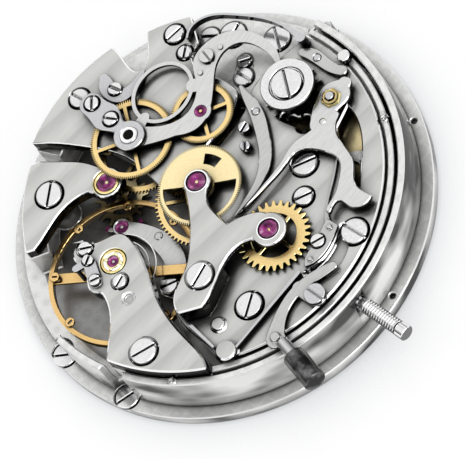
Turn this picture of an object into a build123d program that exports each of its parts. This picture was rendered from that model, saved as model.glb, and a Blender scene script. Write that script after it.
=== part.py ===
from build123d import *
import math
import os

os.makedirs("parts", exist_ok=True)

# A hand-wound chronograph watch movement, bridge side up.
# The origin is the centre of the movement on the dial-side face, and the winding stem lies along +X.
# Lengths are in millimetres and angles in degrees.

# Outer size
movement_radius = 15.0
flange_thickness = 0.9
floor_thickness = 0.8
train_height = 2.4

# The works are laid out inside a circle of two thirds of the movement's radius.
# Every place named as a pair of shares is counted in that works radius.
works_radius_share = 2 / 3
works = movement_radius * works_radius_share

# Clearances, and one overrun for every cut
overrun = 2.0
fit_clearance = 0.01
running_clearance = 0.03
part_gap = 0.1
blade_gap = 0.15

# Bridges
barrel_bridge_thickness = 0.5
train_bridge_thickness = 1.0
cock_thickness = 1.2
pallet_bridge_thickness = 0.3
chronograph_bridge_thickness = 0.45
chronograph_bridge_clearance = 1.05

# Plate
base_radius_share = 1.34
rim_radius_share = 1.41
rim_width_share = 0.05
rim_top_drop = 0.2
groove_width_share = 0.025
ring_width_share = 0.045
wall_width_share = 0.1
left_wall_width_share = 0.19
post_radius_share = 0.1
well_radius_share = 0.5
rim_first = 262.0
rim_last = 457.0
pocket_depth = 0.2
pocket_width_share = 0.56
pallet_bridge_drop = 1.4

# Screws
large_head_share = 0.092
medium_head_share = 0.068
small_head_share = 0.05
tiny_head_share = 0.04
head_height = 0.4
head_edge = 0.07
head_taper = 45.0
head_recess = 0.22
screw_gap = 0.08
shank_share = 0.4
slot_width = 0.16
slot_depth = 0.2
long_shank = 1.6
short_shank = 0.25

# Jewels and pivots
jewel_radius_share = 0.068
jewel_thickness = 0.28
jewel_drop = 0.06
small_jewel_radius_share = 0.045
chaton_width_share = 0.02
shaft_radius_share = 0.018
pivot_radius_share = 0.01
pivot_length = 0.4

# Teeth, as shares of the module (reach) and of the pitch (side)
tooth_corner_shares = [(-1.1, -0.22), (0.85, -0.09), (0.85, 0.09), (-1.1, 0.22)]
fine_tooth_shares = [(-2.8, -0.31), (0.85, -0.09), (0.85, 0.09), (-2.8, 0.31)]
broad_tooth_shares = [(-1.5, -0.36), (0.85, -0.14), (0.85, 0.14), (-1.5, 0.36)]

# Going train
barrel_distance_share = 0.64
crown_angle = -28.4
barrel_angle = 54.6
barrel_teeth = 84
centre_pinion_leaves = 12
centre_wheel_teeth = 72
third_pinion_leaves = 9
third_wheel_teeth = 75
fourth_pinion_leaves = 10
fourth_wheel_teeth = 80
escape_pinion_leaves = 8
escape_wheel_teeth = 15
centre_to_third_share = 0.415
third_to_fourth_share = 0.345
wheel_thickness = 0.2
wheel_rim_share = 0.042
spoke_width_share = 0.024
train_spokes = 5
escape_spokes = 4
spoke_middle_share = 0.42
spoke_length_share = 0.76
low_wheel_lift = 0.25
barrel_lift = 0.65
drum_height = 1.2
drum_wall = 0.2
mainspring_pitch_share = 0.066
mainspring_thickness_share = 0.02
mainspring_half_turns = 12
fourth_wheel_lift = 1.55
centre_wheel_lift = 1.95
pinion_overlap = 0.1

# Escapement and balance
escape_radius_share = 0.195
escape_hub_share = 0.045
pallet_share = 0.375
stone_length_share = 0.034
stone_width_share = 0.02
stone_play_share = 0.014
stone_angle = 31.8
fork_end_gap_share = 0.03
fork_half_width_share = 0.016
fork_slot_share = 0.022
roller_radius_share = 0.05
roller_pin_radius_share = 0.006
balance_radius_share = 0.535
balance_rim_width_share = 0.036
balance_rim_height = 0.5
balance_lift = 1.25
balance_arm_width_share = 0.075
balance_arm_height = 0.3
balance_arm_angle = 37.0
weight_radius_share = 0.033
weight_height = 0.16
weight_circle_share = 0.485
weight_count = 8
hairspring_half_turns = 9
hairspring_pitch_share = 0.05
hairspring_start_share = 0.058
collet_radius_share = 0.05
roller_height = 0.15
hairspring_thickness_share = 0.006
hairspring_height = 0.14
hairspring_lift = 2.1

# Chronograph wheels
driving_teeth = 120
coupling_teeth = 90
driving_radius_share = 0.294
clutch_gap_angle = 3.0
chronograph_wheel_lift = 0.15
minute_teeth = 30
minute_radius_share = 0.245
minute_rim_share = 0.085
minute_wheel_lift = 0.2
wheel_spokes = 4
wheel_hub_share = 0.05
runner_hub_share = 0.105
runner_rim_share = 0.033
runner_web_first = 43.0
runner_web_last = 219.0
runner_window_first = 89.0
runner_window_last = 122.0
runner_window_inner_share = 0.156
runner_window_outer_share = 0.234
runner_spoke_angle = 311.0
heart_lobe_radius_share = 0.042
heart_lobe_x_share = 0.02
heart_lobe_y_share = 0.03
heart_angle = 60.0
heart_height = 0.28
chronograph_shaft_share = 0.014

# Levers
lever_thickness = 0.4
lever_lift = 0.45
clutch_lever_thickness = 0.25
cock_arm_thickness = 0.3
low_lever_lift = 0.15
low_lever_thickness = 0.28
blade_height = 0.6

# Column wheel
ratchet_teeth = 12
column_ratchet_radius_share = 0.18
column_count = 6
column_height = 0.95
column_circle_share = 0.13
cap_radius_share = 0.19
cap_height = 0.35
cap_groove = 0.25
cap_groove_width_share = 0.017
column_stem_radius_share = 0.045
column_ratchet_thickness = 0.25
column_width_share = 0.05
column_depth_share = 0.07
column_gap_angle = 154.7
cap_screw_radius_share = 0.108
cap_screw_rise = 0.1
cap_slot_angle = -36.0

# Winding works
stem_height = 3.3
stem_tip_share = 1.84
stem_radius = 0.36
stem_thread_radius = 0.55
stem_thread_length_share = 0.38
stem_inner_end_share = 0.67
stem_pilot_length_share = 0.06
stem_square = 0.4
stem_pilot_radius = 0.22
stem_bore_radius = 0.31
sliding_pinion_at_share = 0.835
sliding_pinion_length_share = 0.095
stem_post_at_share = 0.71
stem_post_width_share = 0.03
stem_post_depth_share = 0.09
stem_square_end_share = 0.94
stem_groove_at_share = 1.03
stem_groove_width_share = 0.035
stem_groove_radius = 0.28
winding_pinion_radius = 0.44
winding_pinion_teeth = 12
winding_pinion_at_share = 0.74
winding_pinion_length_share = 0.085
crown_teeth = 30
ratchet_wheel_teeth = 30
ratchet_radius_share = 0.24
top_wheel_lift = 1.95

# Dial side
cannon_radius_share = 0.055
hour_pipe_radius_share = 0.085
motion_distance_share = 0.26
motion_angle = 200.0
cannon_leaves = 12
minute_works_teeth = 36
minute_works_leaves = 10
hour_teeth = 40
motion_thickness = 0.14
motion_wheel_low = 0.72
hour_wheel_low = 0.42
hour_pipe_low = 0.0
date_ring_outer_share = 1.26
date_ring_width_share = 0.22
date_ring_thickness = 0.25
date_teeth = 31

# Small studs, bores and springs
centre_arbor_radius_share = 0.045
centre_arbor_rise = 0.3
cannon_bore_radius_share = 0.03
bore_clearance = 0.06
barrel_pivot_radius_share = 0.04
barrel_arbor_radius_share = 0.08
tooth_height_share = 0.014
stud_post_radius_share = 0.025
motion_stud_radius_share = 0.02
shoulder_gap = 0.05
stud_radius_share = 0.016
stud_angle = 227.0
stud_holder_thickness = 0.25
spring_height = 0.3

# Lengths in plan, as shares of the works radius
base_radius = base_radius_share * works
rim_radius = rim_radius_share * works
rim_width = rim_width_share * works
groove_width = groove_width_share * works
ring_width = ring_width_share * works
wall_width = wall_width_share * works
left_wall_width = left_wall_width_share * works
post_radius = post_radius_share * works
well_radius = well_radius_share * works
pocket_width = pocket_width_share * works
large_head = large_head_share * works
medium_head = medium_head_share * works
small_head = small_head_share * works
tiny_head = tiny_head_share * works
jewel_radius = jewel_radius_share * works
small_jewel_radius = small_jewel_radius_share * works
chaton_width = chaton_width_share * works
shaft_radius = shaft_radius_share * works
pivot_radius = pivot_radius_share * works
barrel_distance = barrel_distance_share * works
centre_to_third = centre_to_third_share * works
third_to_fourth = third_to_fourth_share * works
wheel_rim = wheel_rim_share * works
spoke_width = spoke_width_share * works
mainspring_pitch = mainspring_pitch_share * works
mainspring_thickness = mainspring_thickness_share * works
escape_radius = escape_radius_share * works
escape_hub = escape_hub_share * works
stone_length = stone_length_share * works
stone_width = stone_width_share * works
stone_play = stone_play_share * works
fork_end_gap = fork_end_gap_share * works
fork_half_width = fork_half_width_share * works
fork_slot = fork_slot_share * works
roller_radius = roller_radius_share * works
roller_pin_radius = roller_pin_radius_share * works
balance_radius = balance_radius_share * works
balance_rim_width = balance_rim_width_share * works
balance_arm_width = balance_arm_width_share * works
weight_radius = weight_radius_share * works
weight_circle = weight_circle_share * works
hairspring_pitch = hairspring_pitch_share * works
hairspring_start = hairspring_start_share * works
collet_radius = collet_radius_share * works
hairspring_thickness = hairspring_thickness_share * works
driving_radius = driving_radius_share * works
minute_radius = minute_radius_share * works
minute_rim = minute_rim_share * works
wheel_hub = wheel_hub_share * works
runner_hub = runner_hub_share * works
runner_rim = runner_rim_share * works
runner_window_inner = runner_window_inner_share * works
runner_window_outer = runner_window_outer_share * works
heart_lobe_radius = heart_lobe_radius_share * works
heart_lobe_x = heart_lobe_x_share * works
heart_lobe_y = heart_lobe_y_share * works
chronograph_shaft = chronograph_shaft_share * works
column_ratchet_radius = column_ratchet_radius_share * works
column_circle = column_circle_share * works
cap_radius = cap_radius_share * works
cap_screw_radius = cap_screw_radius_share * works
cap_groove_width = cap_groove_width_share * works
column_stem_radius = column_stem_radius_share * works
column_width = column_width_share * works
column_depth = column_depth_share * works
stem_tip = stem_tip_share * works
stem_thread_length = stem_thread_length_share * works
stem_inner_end = stem_inner_end_share * works
stem_pilot_length = stem_pilot_length_share * works
sliding_pinion_at = sliding_pinion_at_share * works
sliding_pinion_length = sliding_pinion_length_share * works
stem_post_at = stem_post_at_share * works
stem_post_width = stem_post_width_share * works
stem_post_depth = stem_post_depth_share * works
stem_square_end = stem_square_end_share * works
stem_groove_at = stem_groove_at_share * works
stem_groove_width = stem_groove_width_share * works
winding_pinion_at = winding_pinion_at_share * works
winding_pinion_length = winding_pinion_length_share * works
ratchet_radius = ratchet_radius_share * works
cannon_radius = cannon_radius_share * works
hour_pipe_radius = hour_pipe_radius_share * works
motion_distance = motion_distance_share * works
date_ring_outer = date_ring_outer_share * works
date_ring_width = date_ring_width_share * works
centre_arbor_radius = centre_arbor_radius_share * works
cannon_bore_radius = cannon_bore_radius_share * works
barrel_pivot_radius = barrel_pivot_radius_share * works
barrel_arbor_radius = barrel_arbor_radius_share * works
tooth_height = tooth_height_share * works
stud_post_radius = stud_post_radius_share * works
motion_stud_radius = motion_stud_radius_share * works
stud_radius = stud_radius_share * works

# Heights worked out from the stack
floor = flange_thickness + floor_thickness
seat = floor + train_height
barrel_top = seat + barrel_bridge_thickness
train_top = seat + train_bridge_thickness
cock_top = seat + cock_thickness
arm_low = barrel_top + chronograph_bridge_clearance
arm_top = arm_low + chronograph_bridge_thickness
rim_top = barrel_top - rim_top_drop
pocket_floor = seat - pocket_depth
pallet_seat = seat - pallet_bridge_drop - pallet_bridge_thickness
pallet_top = pallet_seat + pallet_bridge_thickness
low_wheel = floor + low_wheel_lift
barrel_low = floor + barrel_lift
fourth_low = floor + fourth_wheel_lift
centre_low = floor + centre_wheel_lift
top_wheel = floor + top_wheel_lift
balance_low = floor + balance_lift
wheel_low = train_top + chronograph_wheel_lift
minute_low = barrel_top + minute_wheel_lift
heart_low = minute_low + shoulder_gap
lever_low = barrel_top + lever_lift
low_lever = barrel_top + low_lever_lift
clutch_lever_low = wheel_low + wheel_thickness + running_clearance
cock_arm_low = clutch_lever_low + clutch_lever_thickness + running_clearance
cock_arm_top = cock_arm_low + cock_arm_thickness
ring_radius = rim_radius - rim_width - groove_width


def spot(shares):
    """The place that a pair of shares of the works radius names."""
    return (shares[0] * works, shares[1] * works)


def shares_of(place):
    """A place as a pair of shares of the works radius."""
    return (place[0] / works, place[1] / works)


def away(place, angle, distance):
    """The place at a distance and an angle from another."""
    turn = math.radians(angle)
    return (place[0] + distance * math.cos(turn), place[1] + distance * math.sin(turn))


def span(a, b):
    """The distance from one place to another."""
    return math.dist(a, b)


def bearing(a, b):
    """The direction from one place to another, in degrees."""
    return math.degrees(math.atan2(b[1] - a[1], b[0] - a[0]))


def plane_at(place, height):
    """A level plane whose origin is over a place."""
    return Plane((place[0], place[1], height))


# Axes of the works
centre = (0, 0)
fourth_share = (-0.65, 0)
escape_share = (-0.615, -0.335)
balance_share = (-0.165, -0.75)
minute_share = (0.67, 0.012)
column_share = (0.085, 0.885)
hammer_share = (0.372, 0.987)
brake_share = (-0.05, 0.635)
operating_share = (1.22, -0.16)
start_share = (0.06, 1.17)
click_share = (0.78, 0.79)
setting_share = (1.03, -0.17)

fourth = spot(fourth_share)
escape = spot(escape_share)
balance = spot(balance_share)
minute = spot(minute_share)
column = spot(column_share)
hammer = spot(hammer_share)
brake = spot(brake_share)
operating = spot(operating_share)
start = spot(start_share)
click_pivot = spot(click_share)
setting = spot(setting_share)
barrel_place = away(centre, barrel_angle, barrel_distance)
lever_line = bearing(escape, balance)
pallet = away(escape, lever_line, pallet_share * span(escape, balance))
crown_radius = ratchet_radius * crown_teeth / ratchet_wheel_teeth
crown = away(barrel_place, crown_angle, ratchet_radius + crown_radius)
motion_place = away(centre, motion_angle, motion_distance)
hairspring_low = floor + hairspring_lift
hairspring_end = hairspring_start + (hairspring_half_turns - 1) * hairspring_pitch / 2
stud_place = away(balance, stud_angle, hairspring_end)


def circle_crossing(a, a_distance, b, b_distance):
    """The place at given distances from two others, on the left of the way from a to b."""
    apart = span(a, b)
    along = (a_distance**2 - b_distance**2 + apart**2) / (2 * apart)
    turn = math.degrees(math.acos(along / a_distance))
    return away(a, bearing(a, b) + turn, a_distance)


third = circle_crossing(fourth, third_to_fourth, centre, centre_to_third)

# The coupling wheel rolls round the driving wheel. At rest it stands off the runner by one tooth.
coupling_radius = driving_radius * coupling_teeth / driving_teeth
coupling_reach = driving_radius + coupling_radius
engaged = circle_crossing(fourth, coupling_reach, centre, coupling_reach)
coupling_angle = bearing(fourth, engaged) + clutch_gap_angle
coupling = away(fourth, coupling_angle, coupling_reach)

# Pitch radii of the train
barrel_radius = barrel_distance * barrel_teeth / (barrel_teeth + centre_pinion_leaves)
centre_pinion = barrel_distance - barrel_radius
centre_radius = centre_to_third * centre_wheel_teeth / (centre_wheel_teeth + third_pinion_leaves)
third_pinion = centre_to_third - centre_radius
third_radius = third_to_fourth * third_wheel_teeth / (third_wheel_teeth + fourth_pinion_leaves)
fourth_pinion = third_to_fourth - third_radius
escape_distance = span(fourth, escape)
fourth_radius = escape_distance * fourth_wheel_teeth / (fourth_wheel_teeth + escape_pinion_leaves)
escape_pinion = escape_distance - fourth_radius


def discs(places, radius, low, high, mode=Mode.ADD):
    """Round posts, or round holes, between two heights."""
    with BuildSketch(Plane.XY.offset(low)) as rounds:
        with Locations(*places):
            Circle(radius)
    extrude(rounds.sketch, amount=high - low, mode=mode)


def cuts(places, radius, low, high):
    """Round holes between two heights."""
    discs(places, radius, low, high, Mode.SUBTRACT)


def follow(last, stretches):
    """Draws stretches of points on from a place: one point makes a line, several make a curve."""
    for stretch in stretches:
        places = [last] + [spot(point) for point in stretch]
        if len(places) == 2:
            Line(*places)
        else:
            Spline(*places)
        last = places[-1]
    return last


def outline(start_point, stretches, mode=Mode.ADD):
    """A face inside stretches of points that end where they start."""
    with BuildLine() as edge:
        follow(spot(start_point), stretches)
    make_face(edge.edges(), mode=mode)


def ribbon(route_shares, half_shares, mode=Mode.ADD):
    """A tapering strip with round ends along a smooth route, for levers and blades."""
    route = [Vector(*spot(point)) for point in route_shares]
    halves = [half * works for half in half_shares]
    ways = []
    for index in range(len(route)):
        before = route[max(index - 1, 0)]
        after = route[min(index + 1, len(route) - 1)]
        ways.append((after - before).normalized())
    sides = [Vector(-way.Y, way.X) for way in ways]
    left = [place + side * half for place, side, half in zip(route, sides, halves)]
    right = [place - side * half for place, side, half in zip(route, sides, halves)]
    with BuildLine() as edge:
        if len(route) == 2:
            Line(*left)
            Line(*right)
        else:
            Spline(*left)
            Spline(*right)
        ThreePointArc(left[-1], route[-1] + ways[-1] * halves[-1], right[-1])
        ThreePointArc(left[0], route[0] - ways[0] * halves[0], right[0])
    make_face(edge.edges(), mode=mode)


def ring_sector(inner, outer, first, last, mode=Mode.ADD):
    """A piece of a ring between two angles."""
    with BuildLine() as edge:
        low = CenterArc((0, 0), inner, first, last - first)
        high = CenterArc((0, 0), outer, first, last - first)
        Line(low @ 0, high @ 0)
        Line(low @ 1, high @ 1)
    make_face(edge.edges(), mode=mode)


def toothed(teeth, radius, facing, corner_shares=tooth_corner_shares):
    """A toothed disc with one tooth that points along the facing angle."""
    pitch = 360 / teeth
    module = 2 * radius / teeth
    corners = []
    for tooth in range(teeth):
        for reach_share, side_share in corner_shares:
            turn = facing + (tooth + side_share) * pitch
            corners.append(away(centre, turn, radius + reach_share * module))
    with BuildLine() as edge:
        Polyline(*corners, close=True)
    make_face(edge.edges())


def wheel(
    place, low, teeth, radius, facing, spokes, hub,
    thickness=wheel_thickness, rim=wheel_rim, corner_shares=tooth_corner_shares,
):
    """A spoked toothed wheel."""
    inner = radius - rim
    spoke_length = (radius + inner) / 2
    with BuildSketch(plane_at(place, low)) as disc:
        toothed(teeth, radius, facing, corner_shares)
        Circle(inner, mode=Mode.SUBTRACT)
        Circle(hub)
        with PolarLocations(spoke_length / 2, spokes, start_angle=facing):
            Rectangle(spoke_length, spoke_width)
    extrude(disc.sketch, amount=thickness)


def pinion(place, low, high, leaves, radius, facing):
    """A leaved pinion between two heights."""
    with BuildSketch(plane_at(place, low)) as disc:
        toothed(leaves, radius, facing)
    extrude(disc.sketch, amount=high - low)


def arbor(place, low, high, radius=shaft_radius, low_pivot=pivot_length, high_pivot=pivot_length):
    """A shaft with a thin pivot at each end."""
    discs([place], radius, low, high)
    discs([place], pivot_radius, low - low_pivot, high + high_pivot)


def mesh(place, low, high, leaves, radius, partner):
    """A pinion a little taller than the wheel it meets, with a gap that faces the wheel."""
    facing = bearing(place, partner) + 180 / leaves
    pinion(place, low - pinion_overlap, high + pinion_overlap, leaves, radius, facing)


def under_jewel(top):
    """Where a shaft ends under the jewel of a bridge."""
    return top - jewel_drop - jewel_thickness - shoulder_gap


def add_screws(rows, top, radius, length):
    """Slotted screws from rows of two place shares and a slot angle."""
    places = [spot(row) for row in rows]
    base = top - head_recess
    edge_low = base + head_height - head_edge
    discs(places, radius, base, edge_low)
    with BuildSketch(Plane.XY.offset(edge_low)) as edges:
        with Locations(*places):
            Circle(radius)
    extrude(edges.sketch, amount=head_edge, taper=head_taper)
    discs(places, radius * shank_share, base - length, base)
    with BuildSketch(Plane.XY.offset(base + head_height)) as slots:
        for row in rows:
            with Locations(Location((*spot(row), 0), (0, 0, row[2]))):
                Rectangle(2 * radius + running_clearance, slot_width)
    extrude(slots.sketch, amount=-slot_depth, mode=Mode.SUBTRACT)


def screw_seats(rows, top, radius, length):
    """The recesses and holes that such screws fit."""
    places = [spot(row) for row in rows]
    base = top - head_recess
    cuts(places, radius + screw_gap, base, top + overrun)
    cuts(places, radius * shank_share + fit_clearance, base - length - fit_clearance, top)


def spiral_band(start_radius, pitch, half_turns, thickness):
    """A flat spiral band of half-turn arcs, as a face round the sketch's origin."""
    with BuildLine() as edge:
        ends = []
        for side in (-thickness / 2, thickness / 2):
            middle = 0
            for half in range(half_turns):
                radius = start_radius + side + half * pitch / 2
                arc = CenterArc((middle, 0), radius, 180 * half, 180)
                if half == 0:
                    first_point = arc @ 0
                middle += (-1) ** half * pitch / 2
            ends.append((first_point, arc @ 1))
        Line(ends[0][0], ends[1][0])
        Line(ends[0][1], ends[1][1])
    make_face(edge.edges())


def rod(start, height, angle, length, radius, mode=Mode.ADD):
    """A level round rod from a place along an angle."""
    turn = math.radians(angle)
    way = Plane((start[0], start[1], height), z_dir=(math.cos(turn), math.sin(turn), 0))
    with BuildSketch(way) as round_end:
        Circle(radius)
    extrude(round_end.sketch, amount=length, mode=mode)


def save(part, name):
    """Labels a finished piece and writes it."""
    part.label = name
    export_step(part, f"parts/{name}.step")


# Screw rows: x share, y share, slot angle
cock_screw_row_shares = [(0.467, -1.126, 65)]
train_screw_row_shares = [(-0.90, -0.628, -58)]
train_small_row_shares = [(-1.2, 0.03, 5)]
barrel_screw_row_shares = [(1.115, 0.345, 3), (0.84, -0.46, -65)]
barrel_cover_row_shares = [(0.48, 0.535, 58)]
arm_screw_row_shares = [(0.486, -0.507, -80)]
pocket_large_row_shares = [(-0.64, 1.0, -80), (-0.345, 1.145, -35)]
pocket_medium_row_shares = [(-0.77, 0.9, 35), (-0.36, 0.8, 0)]
pocket_small_row_shares = [(-0.435, 0.895, 50)]
edge_screw_row_shares = [(-0.93, 0.76, 80)]
edge_small_row_shares = [(-0.775, 0.695, -60)]
cock_tiny_row_shares = [(-0.395, -0.79, 45), (-0.02, -0.835, -80)]
stud_tiny_row_shares = [(-0.305, -0.845, -70), (-0.165, -0.93, 60)]
pallet_screw_row_shares = [(0.137, -0.633, 60)]
cock_arm_row_shares = [(-0.84, 0.02, 25)]
cock_arm_foot_row_shares = [(-1.035, 0.035, -50)]
spring_foot_row_shares = [(-1.005, 0.215, 10)]
jumper_screw_row_shares = [(0.955, 0.15, 65)]
recess_screw_row_shares = [(0.64, 0.345, 60)]

barrel_screws = (barrel_screw_row_shares, barrel_top, large_head, long_shank)
barrel_cover = (barrel_cover_row_shares, barrel_top, large_head, short_shank)
train_screws = (train_screw_row_shares, train_top, large_head, long_shank)
train_small = (train_small_row_shares, train_top, medium_head, long_shank)
cock_screws = (cock_screw_row_shares, cock_top, large_head, long_shank)
arm_screws = (arm_screw_row_shares, arm_top, large_head, long_shank)
pocket_large = (pocket_large_row_shares, pocket_floor, large_head, long_shank)
pocket_medium = (pocket_medium_row_shares, pocket_floor, medium_head, long_shank)
pocket_small = (pocket_small_row_shares, pocket_floor, small_head, long_shank)
edge_screws = (edge_screw_row_shares, train_top, medium_head, short_shank)
edge_small = (edge_small_row_shares, train_top, small_head, short_shank)
cock_tiny = (cock_tiny_row_shares, cock_top, small_head, short_shank)
pallet_screws = (pallet_screw_row_shares, pallet_top, medium_head, long_shank / 2)
recess_screws = (recess_screw_row_shares, barrel_top, medium_head, short_shank)
jumper_screws = (jumper_screw_row_shares, barrel_top + low_lever_thickness, small_head, short_shank)
stud_screws = (stud_tiny_row_shares, cock_top + stud_holder_thickness, tiny_head, short_shank)
cock_arm_screws = (cock_arm_row_shares, cock_arm_top, small_head, short_shank)
cock_arm_foot = (cock_arm_foot_row_shares, cock_arm_top, small_head, long_shank)
spring_foot = (spring_foot_row_shares, train_top + spring_height, small_head, short_shank)

# Outlines, as shares of the works radius
barrel_bridge_shares = [
    [(-0.17, 1.15), (-0.21, 0.98), (-0.21, 0.75), (-0.15, 0.6)],
    [(-0.135, 0.45), (-0.135, 0.2), (-0.138, 0)],
    [(-0.1, -0.09), (0.02, -0.14), (0.19, -0.26), (0.31, -0.42)],
    [(0.345, -0.6), (0.41, -0.775)],
    [(0.5, -0.815), (0.72, -0.84), (0.92, -0.885)],
]
barrel_bridge_first = -40.0
barrel_bridge_last = 97.0
barrel_bridge_radius_share = 1.275
crescent_start_share = (0.46, 1.02)
crescent_shares = [
    [(0.64, 0.94), (0.79, 0.79), (0.925, 0.61)],
    [(0.85, 0.62), (0.76, 0.71), (0.63, 0.77), (0.5, 0.86)],
    [(0.46, 1.02)],
]
peep_hole_share = (0.285, 0.755)
peep_hole_radius_share = 0.065
peep_slot_shares = [(0.285, 0.755), (0.13, 0.72)]
peep_slot_half_shares = [0.035, 0.03]
side_recess_shares = [(1.03, 0.33), (1.1, 0.2), (1.115, 0.05), (1.04, -0.06)]
side_recess_half_shares = [0.03, 0.055, 0.06, 0.03]
side_recess_depth = 0.35
button_share = (0.75, -0.685)
button_radius_share = 0.05
button_height = 0.25
hump_share = (0.935, -0.8)
hump_radius_share = 0.075
hump_height = 0.45

train_bridge_first = 160.6
train_bridge_last = 198.0
train_bridge_shares = [
    [(-1.1, -0.305), (-0.93, -0.225), (-0.76, -0.155), (-0.59, -0.12), (-0.36, -0.14), (-0.22, -0.155)],
    [(-0.17, -0.08), (-0.165, 0.1), (-0.175, 0.4), (-0.19, 0.56), (-0.25, 0.67)],
    [(-0.45, 0.68), (-0.7, 0.685), (-0.74, 0.8)],
]
train_lobe_radius_share = 1.31
train_lobe_first = 135.0
train_lobe_last = 149.0
train_bay_shares = [(-1.0, 0.54), (-0.965, 0.46), (-0.98, 0.41), (-1.06, 0.4), (-1.16, 0.43)]

escape_bridge_radius_share = 1.29
escape_bridge_first = 204.5
escape_bridge_last = 234.0
escape_bridge_shares = [
    [(-0.715, -0.99)],
    [(-0.735, -0.8), (-0.745, -0.69), (-0.725, -0.56), (-0.675, -0.46)],
    [(-0.56, -0.42)],
    [(-0.56, -0.25)],
    [(-0.7, -0.27), (-0.83, -0.3), (-0.99, -0.385), (-1.135, -0.475)],
]
escape_eye_radius_share = 0.115

cock_radius_share = 1.35
cock_first = 282.0
cock_last = 313.5
cock_start_share = (-0.158, -0.56)
cock_edge_shares = [
    (-0.01, -0.615), (0.14, -0.7), (0.29, -0.785), (0.48, -0.855), (0.68, -0.895),
    (0.88, -0.945),
]
cock_back_shares = [
    [(0.18, -1.18), (0.08, -1.06), (-0.08, -0.97)],
    [(-0.19, -0.99), (-0.29, -0.91), (-0.42, -0.89), (-0.47, -0.81), (-0.42, -0.74)],
    [(-0.35, -0.69), (-0.31, -0.62), (-0.158, -0.56)],
]
balance_room_share = 0.03
cock_pin_share = (0.115, -0.895)
cock_pin_radius_share = 0.04
stud_route_shares = [(-0.305, -0.845), (-0.165, -0.93)]
stud_route_half_shares = [0.045, 0.045]
stud_arm_half_shares = [0.03, 0.025]

arm_bridge_start_share = (-0.06, -0.075)
arm_bridge_shares = [
    [(0.13, -0.225), (0.28, -0.395), (0.36, -0.53), (0.4, -0.67), (0.535, -0.8)],
    [(0.65, -0.67)],
    [(0.625, -0.53), (0.57, -0.36), (0.56, -0.24), (0.62, -0.11)],
    [(0.67, 0.012)],
    [(0.56, 0.09), (0.49, 0.04), (0.42, -0.06), (0.395, -0.115)],
    [(0.29, -0.105), (0.18, -0.075), (0.095, 0.01)],
    [(-0.06, -0.075)],
]
arm_eye_radius_share = 0.098
arm_minute_eye_radius_share = 0.125
arm_foot_line_share = -0.37

pallet_bridge_shares = [(-0.3, -0.435), (-0.12, -0.42), (0.06, -0.48), (0.137, -0.633)]
pallet_bridge_half_shares = [0.05, 0.055, 0.075, 0.08, 0.075]
pallet_post_radius_share = 0.045
pallet_pin_share = (-0.17, -0.4)
pallet_pin_radius_share = 0.025

clutch_arm_shares = [
    (-0.44, 0.19), (-0.35, 0.4), (-0.45, 0.58), (-0.56, 0.7), (-0.57, 0.85),
    (-0.47, 0.99), (-0.3, 1.035), (-0.17, 1.015), (-0.12, 0.99),
]
clutch_arm_half_shares = [0.05, 0.07, 0.06, 0.085, 0.07, 0.045, 0.035, 0.025, 0.018]
clutch_root_shares = [(-0.65, 0), (-0.52, 0.1), (-0.42, 0.21), (-0.36, 0.36)]
clutch_root_half_shares = [0.09, 0.06, 0.05, 0.06]
clutch_window_share = (-0.675, 0.375)
clutch_window_x_share = 0.187
clutch_window_y_share = 0.21
clutch_frame_width_share = 0.026
clutch_jewel_eye_share = 0.075
clutch_link_shares = [[(-0.65, 0.05), (-0.66, 0.165)], [(-0.52, 0.53), (-0.45, 0.57)]]
clutch_link_half_shares = [0.05, 0.035]
clutch_cap_row_shares = [(-0.575, 0.745, -15)]
clutch_pin_shares = [(-0.54, 0.85), (-0.535, 0.628)]
lever_pin_radius_share = 0.016
lever_pin_rise = 0.08

cock_arm_shares = [(-1.04, 0.03), (-0.97, 0.02), (-0.87, 0.015), (-0.78, 0.01), (-0.65, 0)]
cock_arm_half_shares = [0.085, 0.085, 0.1, 0.06, 0.06]
cock_arm_eye_radius_share = 0.112
cock_arm_cup_radius_share = 0.062
cock_arm_cup_depth = 0.15
cock_arm_foot_x_share = -0.975

side_spring_shares = [(-1.135, 0.235), (-1.03, 0.185), (-0.945, 0.2), (-0.905, 0.3), (-0.925, 0.42)]
side_spring_half_shares = [0.03, 0.055, 0.05, 0.035, 0.015]

brake_route_shares = [
    (-0.265, 0.715), (-0.17, 0.68), (-0.05, 0.635), (0.09, 0.545), (0.22, 0.43),
    (0.31, 0.27), (0.335, 0.1), (0.34, -0.03),
]
brake_half_shares = [0.015, 0.035, 0.05, 0.05, 0.045, 0.035, 0.02, 0.008]
eccentric_share = (-0.035, 0.5)
eccentric_radius_share = 0.042
eccentric_slot_angle = 100.0
brake_stop_share = (0.062, 0.4)
brake_stop_radius_share = 0.038
brake_stop_slot_angle = 131.0

hammer_head_shares = [(0.375, 1.12), (0.37, 1.0), (0.385, 0.88), (0.43, 0.8)]
hammer_head_half_shares = [0.05, 0.105, 0.08, 0.075]
hammer_body_start_share = (0.36, 0.86)
hammer_body_shares = [
    [(0.405, 0.74), (0.365, 0.62), (0.375, 0.45), (0.38, 0.2), (0.372, -0.04)],
    [(0.395, 0.1), (0.41, 0.26), (0.42, 0.42), (0.43, 0.57), (0.52, 0.64), (0.65, 0.675)],
    [(0.75, 0.65), (0.815, 0.56), (0.865, 0.44), (0.9, 0.335), (0.925, 0.34)],
    [(0.935, 0.45), (1.0, 0.45), (1.08, 0.5), (1.09, 0.6)],
    [(1.01, 0.59), (0.95, 0.595), (0.89, 0.63), (0.82, 0.71), (0.7, 0.765), (0.59, 0.8), (0.51, 0.88)],
    [(0.49, 0.93), (0.36, 0.86)],
]
hammer_bush_radius_share = 0.065
hammer_bush_rise = 0.25
hammer_stud_radius_share = 0.03
hammer_stud_rise = 0.45
hammer_pin_share = (0.435, 0.825)

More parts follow.
